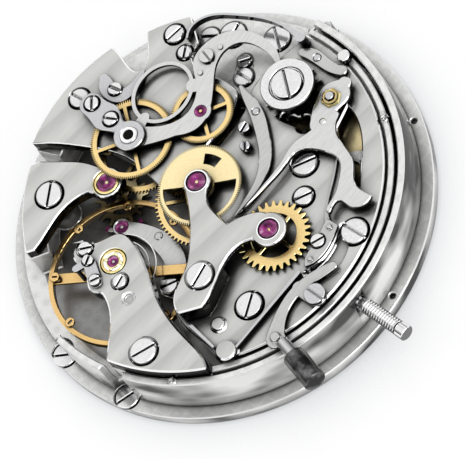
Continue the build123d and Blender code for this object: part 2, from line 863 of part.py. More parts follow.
operating_route_shares = [(1.178, -0.543), (1.095, -0.39), (1.075, -0.19), (1.12, -0.04), (1.17, 0.07)]
operating_half_shares = [0.072, 0.042, 0.04, 0.04, 0.03]
operating_eye_shares = [(1.075, -0.18), (1.22, -0.16)]
operating_eye_half_shares = [0.05, 0.07]
shoulder_head_share = 0.075
shoulder_radius_share = 0.035
pusher_radius = 0.45
pusher_collar_radius = 0.8
pusher_start_share = (1.235, -0.54)
pusher_angle = -13.0
pusher_length_share = 0.4
pusher_collar_length_share = 0.26
pusher_pin_radius_share = 0.034
pusher_pin_rise = 0.2

jumper_start_share = (0.9, 0.31)
jumper_shares = [
    [(1.0, 0.315)],
    [(1.02, 0.26), (1.05, 0.13), (1.04, 0.03), (1.0, -0.04)],
    [(0.965, 0), (0.94, 0.15), (0.915, 0.24), (0.9, 0.31)],
]
jumper_pin_shares = [(0.96, 0.27), (1.0, 0.02)]
jumper_wire_shares = [(0.91, 0.3), (0.85, 0.36), (0.76, 0.52), (0.64, 0.71), (0.53, 0.83)]
jumper_wire_half_shares = [0.02, 0.01, 0.007, 0.007, 0.006]

clutch_spring_shares = [
    (-0.1, 1.21), (-0.22, 1.215), (-0.42, 1.18), (-0.62, 1.09), (-0.79, 0.965),
    (-0.825, 0.89), (-0.8, 0.78),
]
clutch_spring_half_shares = [0.035, 0.012, 0.008, 0.008, 0.008, 0.008, 0.008]
long_blade_shares = [(1.0, -0.1), (0.985, -0.74)]
bar_spring_shares = [(0.6, -0.8), (0.845, -0.83)]
blade_half_shares = [0.012, 0.008]
start_lever_shares = [(-0.06, 1.145), (0.06, 1.17), (0.16, 1.165), (0.27, 1.19)]
start_lever_half_shares = [0.03, 0.045, 0.04, 0.04]

setting_lever_shares = [(1.03, -0.3), (1.03, -0.17), (1.03, -0.05)]
setting_lever_half_shares = [0.03, 0.045, 0.012]
setting_lever_thickness = 0.3
setting_lever_low = 3.15
click_route_shares = [(0.84, 0.74), (0.78, 0.79), (0.605, 0.675)]
click_half_shares = [0.02, 0.045, 0.012]
click_spring_shares = [(0.875, 0.695), (0.95, 0.62), (1.01, 0.53)]
click_spring_half_shares = [0.012, 0.01, 0.025]

dog_row_shares = [(-0.26, 1.4, 20), (-0.27, -1.4, 40), (0.32, -1.385, 70)]
dog_notch_radius_share = 0.095
dog_head_share = 0.085
dog_depth = 0.35
flange_hole_shares = [(0.71, 1.25), (1.43, 0.19)]
flange_hole_radius_share = 0.022
dial_foot_shares = [(0.95, -0.95), (-0.98, 0.9)]
dial_foot_radius = 0.35
rim_pin_shares = [(0.73, -1.17), (0.73, 1.09)]
rim_pin_radius_share = 0.022

# Lengths of the outlines, as shares of the works radius
barrel_bridge_radius = barrel_bridge_radius_share * works
peep_hole_radius = peep_hole_radius_share * works
button_radius = button_radius_share * works
hump_radius = hump_radius_share * works
train_lobe_radius = train_lobe_radius_share * works
escape_bridge_radius = escape_bridge_radius_share * works
escape_eye_radius = escape_eye_radius_share * works
cock_radius = cock_radius_share * works
balance_room = balance_room_share * works
cock_pin_radius = cock_pin_radius_share * works
arm_eye_radius = arm_eye_radius_share * works
arm_minute_eye_radius = arm_minute_eye_radius_share * works
arm_foot_line = arm_foot_line_share * works
pallet_post_radius = pallet_post_radius_share * works
pallet_pin_radius = pallet_pin_radius_share * works
clutch_window_x = clutch_window_x_share * works
clutch_window_y = clutch_window_y_share * works
clutch_frame_width = clutch_frame_width_share * works
clutch_jewel_eye = clutch_jewel_eye_share * works
lever_pin_radius = lever_pin_radius_share * works
cock_arm_eye_radius = cock_arm_eye_radius_share * works
cock_arm_cup_radius = cock_arm_cup_radius_share * works
cock_arm_foot_x = cock_arm_foot_x_share * works
eccentric_radius = eccentric_radius_share * works
brake_stop_radius = brake_stop_radius_share * works
hammer_bush_radius = hammer_bush_radius_share * works
hammer_stud_radius = hammer_stud_radius_share * works
shoulder_head = shoulder_head_share * works
shoulder_radius = shoulder_radius_share * works
pusher_length = pusher_length_share * works
pusher_collar_length = pusher_collar_length_share * works
pusher_pin_radius = pusher_pin_radius_share * works
dog_notch_radius = dog_notch_radius_share * works
dog_head = dog_head_share * works
flange_hole_radius = flange_hole_radius_share * works
rim_pin_radius = rim_pin_radius_share * works


def barrel_bridge_outline():
    """The right-hand bridge between its outer arc and its inner edges."""
    first = away(centre, barrel_bridge_first, barrel_bridge_radius)
    last = away(centre, barrel_bridge_last, barrel_bridge_radius)
    with BuildLine() as edge:
        CenterArc(centre, barrel_bridge_radius, barrel_bridge_first, barrel_bridge_last - barrel_bridge_first)
        Line(follow(last, barrel_bridge_shares), first)
    make_face(edge.edges())


def train_bridge_outline():
    """The left-hand bridge with its outer arc, the lobe above it and the bay between them."""
    arc_last = away(centre, train_bridge_last, base_radius)
    arc_first = away(centre, train_bridge_first, base_radius)
    lobe_first = away(centre, train_lobe_first, train_lobe_radius)
    lobe_last = away(centre, train_lobe_last, train_lobe_radius)
    with BuildLine() as edge:
        CenterArc(centre, base_radius, train_bridge_first, train_bridge_last - train_bridge_first)
        Line(follow(arc_last, train_bridge_shares), lobe_first)
        CenterArc(centre, train_lobe_radius, train_lobe_first, train_lobe_last - train_lobe_first)
        Spline(lobe_last, *[spot(point) for point in train_bay_shares], arc_first)
    make_face(edge.edges())


def escape_bridge_outline():
    """The small bridge over the escape wheel."""
    first = away(centre, escape_bridge_first, escape_bridge_radius)
    last = away(centre, escape_bridge_last, escape_bridge_radius)
    with BuildLine() as edge:
        CenterArc(centre, escape_bridge_radius, escape_bridge_first, escape_bridge_last - escape_bridge_first)
        Line(follow(last, escape_bridge_shares), first)
    make_face(edge.edges())
    with Locations(escape):
        Circle(escape_eye_radius)


def cock_outline():
    """The balance cock from its round head to its broad foot."""
    first = away(centre, cock_first, cock_radius)
    last = away(centre, cock_last, cock_radius)
    with BuildLine() as edge:
        CenterArc(centre, cock_radius, cock_first, cock_last - cock_first)
        Spline(spot(cock_start_share), *[spot(point) for point in cock_edge_shares], last)
        follow(first, cock_back_shares)
    make_face(edge.edges())


# Dial-side plate: the flange, with its well for the motion works and its ring for the date
date_ring_inner = date_ring_outer - date_ring_width
date_room = date_ring_thickness + part_gap
with BuildPart() as calendar_plate:
    discs([centre], movement_radius, 0, flange_thickness)
    cuts([centre], well_radius, -overrun, flange_thickness + overrun)
    with BuildSketch(Plane.XY):
        Circle(date_ring_outer + part_gap)
        Circle(date_ring_inner - part_gap, mode=Mode.SUBTRACT)
    extrude(amount=date_room, mode=Mode.SUBTRACT)
    dogs = [spot(row) for row in dog_row_shares]
    above = flange_thickness + overrun
    cuts(dogs, dog_notch_radius, flange_thickness - dog_depth, above)
    cuts(dogs, dog_head * shank_share + fit_clearance, -overrun, flange_thickness)
    cuts([spot(share) for share in flange_hole_shares], flange_hole_radius, -overrun, above)
    cuts([spot(share) for share in dial_foot_shares], dial_foot_radius, -overrun, above)
save(calendar_plate.part, "calendar_plate")

# Main plate: floor, outer rim and ring on the right, seats for the bridges and the pocket at the top
left_wall = base_radius - left_wall_width
with BuildPart() as main_plate:
    with BuildSketch(Plane.XY.offset(flange_thickness)):
        Circle(rim_radius)
    extrude(amount=floor_thickness)
    with BuildSketch(Plane.XY.offset(floor)):
        ring_sector(rim_radius - rim_width, rim_radius, rim_first, rim_last)
    extrude(amount=rim_top - floor)
    with BuildSketch(Plane.XY.offset(floor)):
        ring_sector(ring_radius - ring_width, ring_radius, cock_last + part_gap, rim_last)
    extrude(amount=rim_top - floor)
    for row in dog_row_shares:
        cuts([spot(row)], dog_notch_radius, flange_thickness, rim_top)
    with BuildSketch(Plane.XY.offset(floor)):
        right_wall = ring_radius - ring_width - wall_width
        ring_sector(right_wall, ring_radius, barrel_bridge_first, barrel_bridge_last)
        ring_sector(left_wall, base_radius, train_bridge_first, train_bridge_last)
        ring_sector(left_wall, escape_bridge_radius, escape_bridge_first, escape_bridge_last)
        ring_sector(left_wall, train_lobe_radius, train_lobe_first, train_lobe_last)
        with Locations(*[spot(row) for row in barrel_screw_row_shares + train_screw_row_shares]):
            Circle(post_radius)
    extrude(amount=train_height)
    with BuildSketch(Plane.XY.offset(floor)):
        cock_outline()
        with Locations(balance):
            Circle(balance_radius + balance_room, mode=Mode.SUBTRACT)
    extrude(amount=train_height)
    with BuildSketch(Plane.XY.offset(floor)):
        ring_sector(train_lobe_radius - pocket_width, train_lobe_radius, barrel_bridge_last, train_lobe_first)
    extrude(amount=pocket_floor - floor)
    pallet_posts = [spot(row) for row in pallet_screw_row_shares] + [spot(pallet_pin_share)]
    discs(pallet_posts, pallet_post_radius, floor, pallet_seat)
    discs([spot(share) for share in rim_pin_shares], rim_pin_radius, floor, rim_top + button_height)
    for group in (barrel_screws, train_screws, train_small, cock_screws, pallet_screws):
        screw_seats(*group)
    for group in (pocket_large, pocket_medium, pocket_small):
        screw_seats(*group)
    train = [fourth, third, escape, pallet, balance]
    cuts(train, pivot_radius + running_clearance, floor - pivot_length, floor)
    with BuildSketch(Plane.XY.offset(floor)):
        with Locations((stem_square_end + stem_radius, 0)):
            Rectangle(stem_radius, 2 * stem_radius + wall_width)
    extrude(amount=train_height)
    with BuildSketch(Plane.YZ.offset(stem_square_end)):
        with Locations((0, stem_height)):
            Circle(stem_radius + running_clearance)
    extrude(amount=stem_tip - stem_square_end, mode=Mode.SUBTRACT)
    cuts([centre], centre_arbor_radius + running_clearance, 0, floor)
    cuts([barrel_place], barrel_pivot_radius + running_clearance, floor - pivot_length, floor)
    discs([setting], stud_post_radius, floor, setting_lever_low + setting_lever_thickness)
    discs([motion_place], motion_stud_radius, hour_wheel_low, flange_thickness)
    with BuildSketch(Plane.XY.offset(floor)):
        with Locations((stem_post_at, 0)):
            Rectangle(stem_post_width, stem_post_depth)
    extrude(amount=top_wheel - shoulder_gap - floor)
    pilot_way = stem_square_end - stem_inner_end
    rod((stem_inner_end, 0), stem_height, 0, pilot_way, stem_pilot_radius + running_clearance, Mode.SUBTRACT)
    cuts([barrel_place], barrel_radius + tooth_height + part_gap, floor, seat)
    cuts([crown], crown_radius + tooth_height + part_gap, top_wheel - shoulder_gap, seat)
save(main_plate.part, "main_plate")


def jewel_hole(place, top, radius):
    """The seat of a jewel in a bridge, with the arbor's way up to it."""
    cuts([place], radius + fit_clearance, top - jewel_drop - jewel_thickness, top + overrun)
    cuts([place], shaft_radius + running_clearance, floor, top)


# Bridges
with BuildPart() as barrel_bridge:
    with BuildSketch(Plane.XY.offset(seat)):
        barrel_bridge_outline()
        outline(crescent_start_share, crescent_shares, Mode.SUBTRACT)
        ribbon(peep_slot_shares, peep_slot_half_shares, Mode.SUBTRACT)
        with Locations(spot(peep_hole_share)):
            Circle(peep_hole_radius, mode=Mode.SUBTRACT)
    extrude(amount=barrel_bridge_thickness)
    with BuildSketch(Plane.XY.offset(barrel_top)):
        ribbon(side_recess_shares, side_recess_half_shares)
    extrude(amount=-side_recess_depth, mode=Mode.SUBTRACT)
    discs([spot(button_share)], button_radius, barrel_top, barrel_top + button_height)
    discs([spot(hump_share)], hump_radius, barrel_top, barrel_top + hump_height)
    for group in (barrel_screws, barrel_cover, arm_screws, recess_screws, jumper_screws):
        screw_seats(*group)
    cuts([centre], centre_arbor_radius + running_clearance, seat, barrel_top)
    cuts([minute], pivot_radius + running_clearance, seat, barrel_top)
    cuts([barrel_place], barrel_pivot_radius + running_clearance, seat, seat + centre_arbor_rise)
    cuts([click_pivot, crown], stud_post_radius + running_clearance, seat, seat + centre_arbor_rise)
    cuts([column], column_stem_radius + fit_clearance, barrel_top - pivot_length, barrel_top)
    stem_way = winding_pinion_radius + part_gap + running_clearance
    rod((stem_inner_end, 0), stem_height, 0, rim_radius - stem_inner_end, stem_way, Mode.SUBTRACT)
save(barrel_bridge.part, "barrel_bridge")

with BuildPart() as train_bridge:
    with BuildSketch(Plane.XY.offset(seat)):
        train_bridge_outline()
    extrude(amount=train_bridge_thickness)
    for group in (train_small, edge_screws, edge_small, spring_foot, cock_arm_foot):
        screw_seats(*group)
    cuts([fourth], shaft_radius + running_clearance, seat, train_top)
    cuts([third], pivot_radius + running_clearance, seat, seat + pivot_length)
save(train_bridge.part, "train_bridge")

with BuildPart() as escape_bridge:
    with BuildSketch(Plane.XY.offset(seat)):
        escape_bridge_outline()
    extrude(amount=train_bridge_thickness)
    screw_seats(*train_screws)
    jewel_hole(escape, train_top, jewel_radius + chaton_width)
save(escape_bridge.part, "escape_bridge")

with BuildPart() as balance_cock:
    with BuildSketch(Plane.XY.offset(seat)):
        cock_outline()
    extrude(amount=cock_thickness)
    for group in (cock_screws, cock_tiny, stud_screws):
        screw_seats(*group)
    jewel_hole(balance, cock_top, jewel_radius + chaton_width)
    cuts([spot(cock_pin_share)], cock_pin_radius + fit_clearance, cock_top - head_recess, cock_top)
save(balance_cock.part, "balance_cock")

with BuildPart() as pallet_bridge:
    with BuildSketch(Plane.XY.offset(pallet_seat)):
        ribbon([shares_of(pallet)] + pallet_bridge_shares, pallet_bridge_half_shares)
        with Locations(pallet):
            Circle(small_jewel_radius + chaton_width)
    extrude(amount=pallet_bridge_thickness)
    screw_seats(*pallet_screws)
    cuts([pallet], small_jewel_radius + fit_clearance, pallet_seat, pallet_top)
    discs([spot(pallet_pin_share)], pallet_pin_radius, pallet_top, pallet_top + lever_pin_rise)
save(pallet_bridge.part, "pallet_bridge")

foot_size = 2 * movement_radius
with BuildPart() as chronograph_bridge:
    with BuildSketch(Plane.XY.offset(arm_low)):
        outline(arm_bridge_start_share, arm_bridge_shares)
        with Locations(centre):
            Circle(arm_eye_radius)
        with Locations(minute):
            Circle(arm_minute_eye_radius)
    extrude(amount=chronograph_bridge_thickness)
    with BuildSketch(Plane.XY.offset(barrel_top)):
        outline(arm_bridge_start_share, arm_bridge_shares)
        with Locations((0, arm_foot_line - foot_size / 2)):
            Rectangle(foot_size, foot_size, mode=Mode.INTERSECT)
    extrude(amount=chronograph_bridge_clearance)
    screw_seats(*arm_screws)
    for place in (centre, minute):
        jewel_hole(place, arm_top, jewel_radius)
save(chronograph_bridge.part, "chronograph_bridge")

with BuildPart() as driving_wheel_cock:
    with BuildSketch(Plane.XY.offset(cock_arm_low)):
        ribbon(cock_arm_shares, cock_arm_half_shares)
        with Locations(fourth):
            Circle(cock_arm_eye_radius)
    extrude(amount=cock_arm_thickness)
    with BuildSketch(Plane.XY.offset(train_top)):
        ribbon(cock_arm_shares, cock_arm_half_shares)
        with Locations((cock_arm_foot_x - foot_size / 2, 0)):
            Rectangle(foot_size, foot_size, mode=Mode.INTERSECT)
    extrude(amount=cock_arm_low - train_top)
    for group in (cock_arm_screws, cock_arm_foot):
        screw_seats(*group)
    cuts([fourth], cock_arm_cup_radius, cock_arm_top - cock_arm_cup_depth, cock_arm_top)
    cuts([fourth], pivot_radius + running_clearance, cock_arm_low, cock_arm_top)
save(driving_wheel_cock.part, "driving_wheel_cock")

# Jewels and their settings
jewel_tops = [(escape, train_top), (balance, cock_top), (centre, arm_top), (minute, arm_top)]
with BuildPart() as bridge_jewels:
    for place, top in jewel_tops:
        high = top - jewel_drop
        discs([place], jewel_radius, high - jewel_thickness, high)
        cuts([place], pivot_radius + running_clearance, high - jewel_thickness, high)
    discs([pallet], small_jewel_radius, pallet_seat, pallet_top)
    cuts([pallet], pivot_radius + running_clearance, pallet_seat, pallet_top)
save(bridge_jewels.part, "bridge_jewels")

with BuildPart() as jewel_chatons:
    for place, top in jewel_tops[:2]:
        discs([place], jewel_radius + chaton_width, top - jewel_drop - jewel_thickness, top)
        cuts([place], jewel_radius + fit_clearance, top - jewel_drop - jewel_thickness, top)
save(jewel_chatons.part, "jewel_chatons")

# Screws
with BuildPart() as large_screws:
    for group in (barrel_screws, barrel_cover, train_screws, cock_screws, arm_screws, pocket_large):
        add_screws(*group)
save(large_screws.part, "large_screws")

with BuildPart() as medium_screws:
    for group in (train_small, pocket_medium, edge_screws, pallet_screws, recess_screws):
        add_screws(*group)
save(medium_screws.part, "medium_screws")

with BuildPart() as small_screws:
    for group in (pocket_small, edge_small, cock_tiny, stud_screws):
        add_screws(*group)
    for group in (cock_arm_screws, cock_arm_foot, spring_foot, jumper_screws):
        add_screws(*group)
save(small_screws.part, "small_screws")

with BuildPart() as dog_screws:
    dog_base = flange_thickness - dog_depth
    add_screws(dog_row_shares, dog_base + head_recess, dog_head, dog_base - shoulder_gap)
save(dog_screws.part, "dog_screws")

with BuildPart() as stud_holder:
    with BuildSketch(Plane.XY.offset(cock_top)):
        ribbon(stud_route_shares, stud_route_half_shares)
        ribbon([stud_route_shares[0], shares_of(stud_place)], stud_arm_half_shares)
    extrude(amount=stud_holder_thickness)
    discs([stud_place], stud_radius, hairspring_low - part_gap, cock_top)
    screw_seats(*stud_screws)
save(stud_holder.part, "stud_holder")

# Going train
shaft_hub = shaft_radius + part_gap
drum_radius = barrel_radius - drum_wall - part_gap
drum_high = barrel_low + drum_height
with BuildPart() as barrel:
    with BuildSketch(plane_at(barrel_place, barrel_low)):
        toothed(barrel_teeth, barrel_radius, barrel_angle + 180)
    extrude(amount=drum_wall + part_gap)
    discs([barrel_place], drum_radius, barrel_low, drum_high)
    cuts([barrel_place], drum_radius - drum_wall, barrel_low + drum_wall, drum_high - drum_wall)
    cuts([barrel_place], barrel_arbor_radius + running_clearance, barrel_low, drum_high)
save(barrel.part, "barrel")

with BuildPart() as barrel_arbor:
    discs([barrel_place], barrel_arbor_radius, barrel_low, drum_high)
    low_end = floor - pivot_length + shoulder_gap
    discs([barrel_place], barrel_pivot_radius, low_end, seat + centre_arbor_rise - shoulder_gap)
save(barrel_arbor.part, "barrel_arbor")

mainspring_start = barrel_arbor_radius + part_gap + mainspring_thickness / 2
with BuildPart() as mainspring:
    with BuildSketch(plane_at(barrel_place, barrel_low + drum_wall + part_gap)):
        spiral_band(mainspring_start, mainspring_pitch, mainspring_half_turns, mainspring_thickness)
    extrude(amount=drum_height - 2 * drum_wall - 2 * part_gap)
save(mainspring.part, "mainspring")

with BuildPart() as ratchet_wheel:
    with BuildSketch(plane_at(barrel_place, top_wheel)):
        toothed(ratchet_wheel_teeth, ratchet_radius, bearing(barrel_place, crown))
        Circle(barrel_pivot_radius + fit_clearance, mode=Mode.SUBTRACT)
    extrude(amount=wheel_thickness)
save(ratchet_wheel.part, "ratchet_wheel")

with BuildPart() as crown_wheel:
    with BuildSketch(plane_at(crown, top_wheel)):
        toothed(crown_teeth, crown_radius, bearing(crown, barrel_place) + 180 / crown_teeth)
    extrude(amount=wheel_thickness)
    discs([crown], stud_post_radius, top_wheel, seat + centre_arbor_rise - shoulder_gap)
save(crown_wheel.part, "crown_wheel")

with BuildPart() as click:
    with BuildSketch(Plane.XY.offset(top_wheel)):
        ribbon(click_route_shares, click_half_shares)
    extrude(amount=wheel_thickness)
    discs([click_pivot], stud_post_radius, top_wheel, seat + centre_arbor_rise - shoulder_gap)
save(click.part, "click")

with BuildPart() as click_spring:
    with BuildSketch(Plane.XY.offset(top_wheel)):
        ribbon(click_spring_shares, click_spring_half_shares)
    extrude(amount=seat - top_wheel)
save(click_spring.part, "click_spring")

chronograph_bore = chronograph_shaft + bore_clearance
with BuildPart() as centre_wheel:
    hub = centre_arbor_radius + part_gap
    wheel(centre, centre_low, centre_wheel_teeth, centre_radius, bearing(centre, third), train_spokes, hub)
    discs([centre], centre_arbor_radius, flange_thickness + shoulder_gap, seat + centre_arbor_rise)
    discs([centre], cannon_bore_radius, hour_wheel_low, flange_thickness + shoulder_gap)
    teeth_high = barrel_low + drum_wall + part_gap
    mesh(centre, barrel_low, teeth_high, centre_pinion_leaves, centre_pinion, barrel_place)
    cuts([centre], chronograph_bore, 0, barrel_top)
save(centre_wheel.part, "centre_wheel")

with BuildPart() as third_wheel:
    wheel(third, low_wheel, third_wheel_teeth, third_radius, bearing(third, fourth), train_spokes, shaft_hub)
    arbor(third, floor + shoulder_gap, seat - shoulder_gap)
    mesh(third, centre_low, centre_low + wheel_thickness, third_pinion_leaves, third_pinion, centre)
save(third_wheel.part, "third_wheel")

with BuildPart() as fourth_wheel:
    facing = bearing(fourth, escape)
    wheel(fourth, fourth_low, fourth_wheel_teeth, fourth_radius, facing, train_spokes, shaft_hub)
    long_pivot = cock_arm_low - wheel_low + pivot_length / 2
    arbor(fourth, floor + shoulder_gap, wheel_low, high_pivot=long_pivot)
    mesh(fourth, low_wheel, low_wheel + wheel_thickness, fourth_pinion_leaves, fourth_pinion, third)
save(fourth_wheel.part, "fourth_wheel")

with BuildPart() as escape_wheel:
    with BuildSketch(plane_at(escape, low_wheel)):
        toothed(escape_wheel_teeth, escape_radius - wheel_rim / 2, 0)
        Circle(escape_radius - wheel_rim * 2, mode=Mode.SUBTRACT)
        Circle(escape_hub)
        with PolarLocations(escape_radius * spoke_middle_share, escape_spokes):
            Rectangle(escape_radius * spoke_length_share, spoke_width)
    extrude(amount=wheel_thickness)
    arbor(escape, floor + shoulder_gap, under_jewel(train_top), high_pivot=jewel_thickness)
    mesh(escape, fourth_low, fourth_low + wheel_thickness, escape_pinion_leaves, escape_pinion, fourth)
save(escape_wheel.part, "escape_wheel")

# Escapement
fork_low = low_wheel
fork_high = low_wheel + wheel_thickness
fork_length = span(pallet, balance) - roller_radius + roller_pin_radius
stone_reach = escape_radius + stone_length / 2 + stone_play
stone_places = [away(escape, lever_line + side * stone_angle, stone_reach) for side in (-1, 1)]
with BuildPart() as pallet_fork:
    with BuildSketch(plane_at(pallet, fork_low)):
        with Locations(Location((0, 0, 0), (0, 0, lever_line))):
            with Locations((fork_length / 2, 0)):
                Rectangle(fork_length, 2 * fork_half_width)
            with Locations((fork_length - fork_end_gap, 0)):
                Circle(2 * fork_half_width)
                with Locations((fork_end_gap, 0)):
                    Rectangle(2 * fork_end_gap, fork_slot, mode=Mode.SUBTRACT)
        Circle(2 * fork_half_width)
    extrude(amount=fork_high - fork_low)
    arm_half = fork_half_width / works
    arm_lag = math.degrees((stone_width / 2 + fork_half_width - shoulder_gap) / stone_reach)
    for side in (-1, 1):
        arm_end = away(escape, lever_line + side * (stone_angle - arm_lag), stone_reach)
        with BuildSketch(Plane.XY.offset(fork_low)):
            ribbon([shares_of(pallet), shares_of(arm_end)], [arm_half, arm_half])
        extrude(amount=fork_high - fork_low)
    for place in stone_places:
        with BuildSketch(Plane.XY.offset(fork_low)):
            with Locations(Location((*place, 0), (0, 0, bearing(escape, place)))):
                Rectangle(stone_length, stone_width)
        extrude(amount=fork_high - fork_low, mode=Mode.SUBTRACT)
    cuts([escape], stone_reach - stone_length / 2, fork_low, fork_high)
    arbor(pallet, floor + shoulder_gap, pallet_seat - shoulder_gap, high_pivot=jewel_thickness)
save(pallet_fork.part, "pallet_fork")

with BuildPart() as pallet_stones:
    for place in stone_places:
        with BuildSketch(Plane.XY.offset(fork_low)):
            with Locations(Location((*place, 0), (0, 0, bearing(escape, place)))):
                Rectangle(stone_length, stone_width)
        extrude(amount=fork_high - fork_low)
save(pallet_stones.part, "pallet_stones")

# Balance
staff_high = under_jewel(cock_top)
with BuildPart() as balance_wheel:
    with BuildSketch(plane_at(balance, balance_low)):
        Circle(balance_radius)
        Circle(balance_radius - balance_rim_width, mode=Mode.SUBTRACT)
    extrude(amount=balance_rim_height)
    with BuildSketch(plane_at(balance, balance_low)):
        with Locations(Location((0, 0, 0), (0, 0, balance_arm_angle))):
            Rectangle(2 * balance_radius - balance_rim_width, balance_arm_width)
        Circle(balance_arm_width)
        Circle(shaft_radius, mode=Mode.SUBTRACT)
    extrude(amount=balance_arm_height)
save(balance_wheel.part, "balance_wheel")

with BuildPart() as balance_weights:
    with BuildSketch(plane_at(balance, balance_low + balance_rim_height)):
        with PolarLocations(weight_circle, weight_count, start_angle=balance_arm_angle):
            Circle(weight_radius)
            Rectangle(weight_radius, slot_width, mode=Mode.SUBTRACT)
    extrude(amount=weight_height)
save(balance_weights.part, "balance_weights")

roller_low = fork_high + shoulder_gap
pin_place = away(balance, lever_line + 180, roller_radius - 2 * roller_pin_radius)
with BuildPart() as balance_staff:
    arbor(balance, floor + shoulder_gap, staff_high, high_pivot=jewel_thickness)
    discs([balance], roller_radius, roller_low, roller_low + roller_height)
    discs([pin_place], roller_pin_radius, fork_low, roller_low)
    collet_high = hairspring_low + hairspring_height + shoulder_gap
    discs([balance], collet_radius, hairspring_low - shoulder_gap, collet_high)
save(balance_staff.part, "balance_staff")

with BuildPart() as hairspring:
    spring_way = Vector(1, 0, 0).rotate(Axis.Z, stud_angle - 180)
    with BuildSketch(Plane((*balance, hairspring_low), x_dir=spring_way)):
        spiral_band(hairspring_start, hairspring_pitch, hairspring_half_turns, hairspring_thickness)
    extrude(amount=hairspring_height)
    cuts([stud_place], stud_radius, hairspring_low, hairspring_low + hairspring_height)
save(hairspring.part, "hairspring")

# The turns of the hairspring are measured on points of its half-turn arcs.
gap_steps = 12
turn_places = []
middle = 0
for half in range(hairspring_half_turns):
    radius = hairspring_start + half * hairspring_pitch / 2
    for step in range(gap_steps):
        turn = 180 * (half + step / gap_steps)
        turn_places.append((half * gap_steps + step, away((middle, 0), turn, radius)))
    middle += (-1) ** half * hairspring_pitch / 2
gaps = [span(a[1], b[1]) for a in turn_places for b in turn_places if b[0] - a[0] > gap_steps]
print("least hairspring gap", round(min(gaps) - hairspring_thickness, 3))

# Dial-side wheels
cannon_pitch = motion_distance * cannon_leaves / (cannon_leaves + minute_works_teeth)
minute_works_radius = motion_distance - cannon_pitch
works_pinion = motion_distance * minute_works_leaves / (minute_works_leaves + hour_teeth)
hour_radius = motion_distance - works_pinion
motion_high = motion_wheel_low + motion_thickness
with BuildPart() as cannon_pinion:
    discs([centre], cannon_radius, hour_pipe_low, motion_high)
    facing = motion_angle + 180 / cannon_leaves
    leaves_low = hour_wheel_low + motion_thickness + shoulder_gap
    pinion(centre, leaves_low, motion_high, cannon_leaves, cannon_pitch, facing)
    cuts([centre], cannon_bore_radius + fit_clearance, hour_pipe_low, motion_high)
save(cannon_pinion.part, "cannon_pinion")

with BuildPart() as minute_works_wheel:
    pinion(motion_place, motion_wheel_low, motion_high, minute_works_teeth, minute_works_radius, motion_angle)
    pinion(motion_place, hour_wheel_low, motion_wheel_low, minute_works_leaves, works_pinion, motion_angle)
    cuts([motion_place], motion_stud_radius + running_clearance, hour_wheel_low, motion_high)
save(minute_works_wheel.part, "minute_works_wheel")

with BuildPart() as hour_wheel:
    facing = motion_angle + 180 / hour_teeth
    pinion(centre, hour_wheel_low, hour_wheel_low + motion_thickness, hour_teeth, hour_radius, facing)
    discs([centre], hour_pipe_radius, hour_pipe_low, hour_wheel_low)
    cuts([centre], cannon_radius + running_clearance, hour_pipe_low, hour_wheel_low + motion_thickness)
save(hour_wheel.part, "hour_wheel")

with BuildPart() as date_ring:
    with BuildSketch(Plane.XY.offset(shoulder_gap)):
        Circle(date_ring_outer)
        Circle(date_ring_inner + date_ring_width / 4, mode=Mode.SUBTRACT)
        with PolarLocations(date_ring_inner + date_ring_width / 4, date_teeth):
            Rectangle(date_ring_width / 4, date_ring_width / 8)
    extrude(amount=date_ring_thickness)
save(date_ring.part, "date_ring")

# Chronograph wheels
wheel_high = wheel_low + wheel_thickness
drive_facing = bearing(fourth, coupling)
coupling_facing = bearing(coupling, fourth) + 180 / coupling_teeth
runner_line = bearing(engaged, centre)
lag = (runner_line - coupling_facing + clutch_gap_angle) % (360 / coupling_teeth)
runner_facing = runner_line + 180 + lag * coupling_teeth / driving_teeth + 180 / driving_teeth
with BuildPart() as driving_wheel:
    wheel(
        fourth, wheel_low, driving_teeth, driving_radius, drive_facing, wheel_spokes, wheel_hub,
        corner_shares=fine_tooth_shares,
    )
    cuts([fourth], pivot_radius, wheel_low, wheel_high)
save(driving_wheel.part, "driving_wheel")

with BuildPart() as coupling_wheel:
    wheel(
        coupling, wheel_low, coupling_teeth, coupling_radius, coupling_facing, wheel_spokes, wheel_hub,
        corner_shares=fine_tooth_shares,
    )
    discs([coupling], shaft_radius, wheel_low - shoulder_gap, wheel_high)
    discs([coupling], pivot_radius, wheel_low - part_gap, clutch_lever_low + clutch_lever_thickness)
save(coupling_wheel.part, "coupling_wheel")

with BuildPart() as chronograph_runner:
    runner_inner = driving_radius - runner_rim
    window = (runner_window_first, runner_window_last)
    with BuildSketch(Plane.XY.offset(wheel_low)):
        toothed(driving_teeth, driving_radius, runner_facing, fine_tooth_shares)
        Circle(runner_inner, mode=Mode.SUBTRACT)
        Circle(runner_hub)
        ring_sector(runner_hub - part_gap, runner_inner + part_gap, runner_web_first, runner_web_last)
        ring_sector(runner_window_inner, runner_window_outer, *window, Mode.SUBTRACT)
        with PolarLocations(runner_inner / 2, 1, start_angle=runner_spoke_angle):
            Rectangle(runner_inner + runner_rim / 2, spoke_width)
    extrude(amount=wheel_thickness)
    discs([centre], chronograph_shaft, 0, under_jewel(arm_top))
    discs([centre], pivot_radius, wheel_high, under_jewel(arm_top) + jewel_thickness)
save(chronograph_runner.part, "chronograph_runner")


def heart(place, low, height, angle, bore):
    """A heart cam on a shaft."""
    with BuildSketch(plane_at(place, low)) as cam:
        with Locations(Location((0, 0, 0), (0, 0, angle))):
            with Locations((heart_lobe_x, heart_lobe_y), (heart_lobe_x, -heart_lobe_y)):
                Circle(heart_lobe_radius)
            with Locations((-heart_lobe_x, 0)):
                Circle(heart_lobe_radius)
        Circle(heart_lobe_radius)
        Circle(bore, mode=Mode.SUBTRACT)
    extrude(cam.sketch, amount=height)


with BuildPart() as runner_heart:
    heart(centre, heart_low, heart_height, heart_angle, chronograph_shaft)
save(runner_heart.part, "runner_heart")

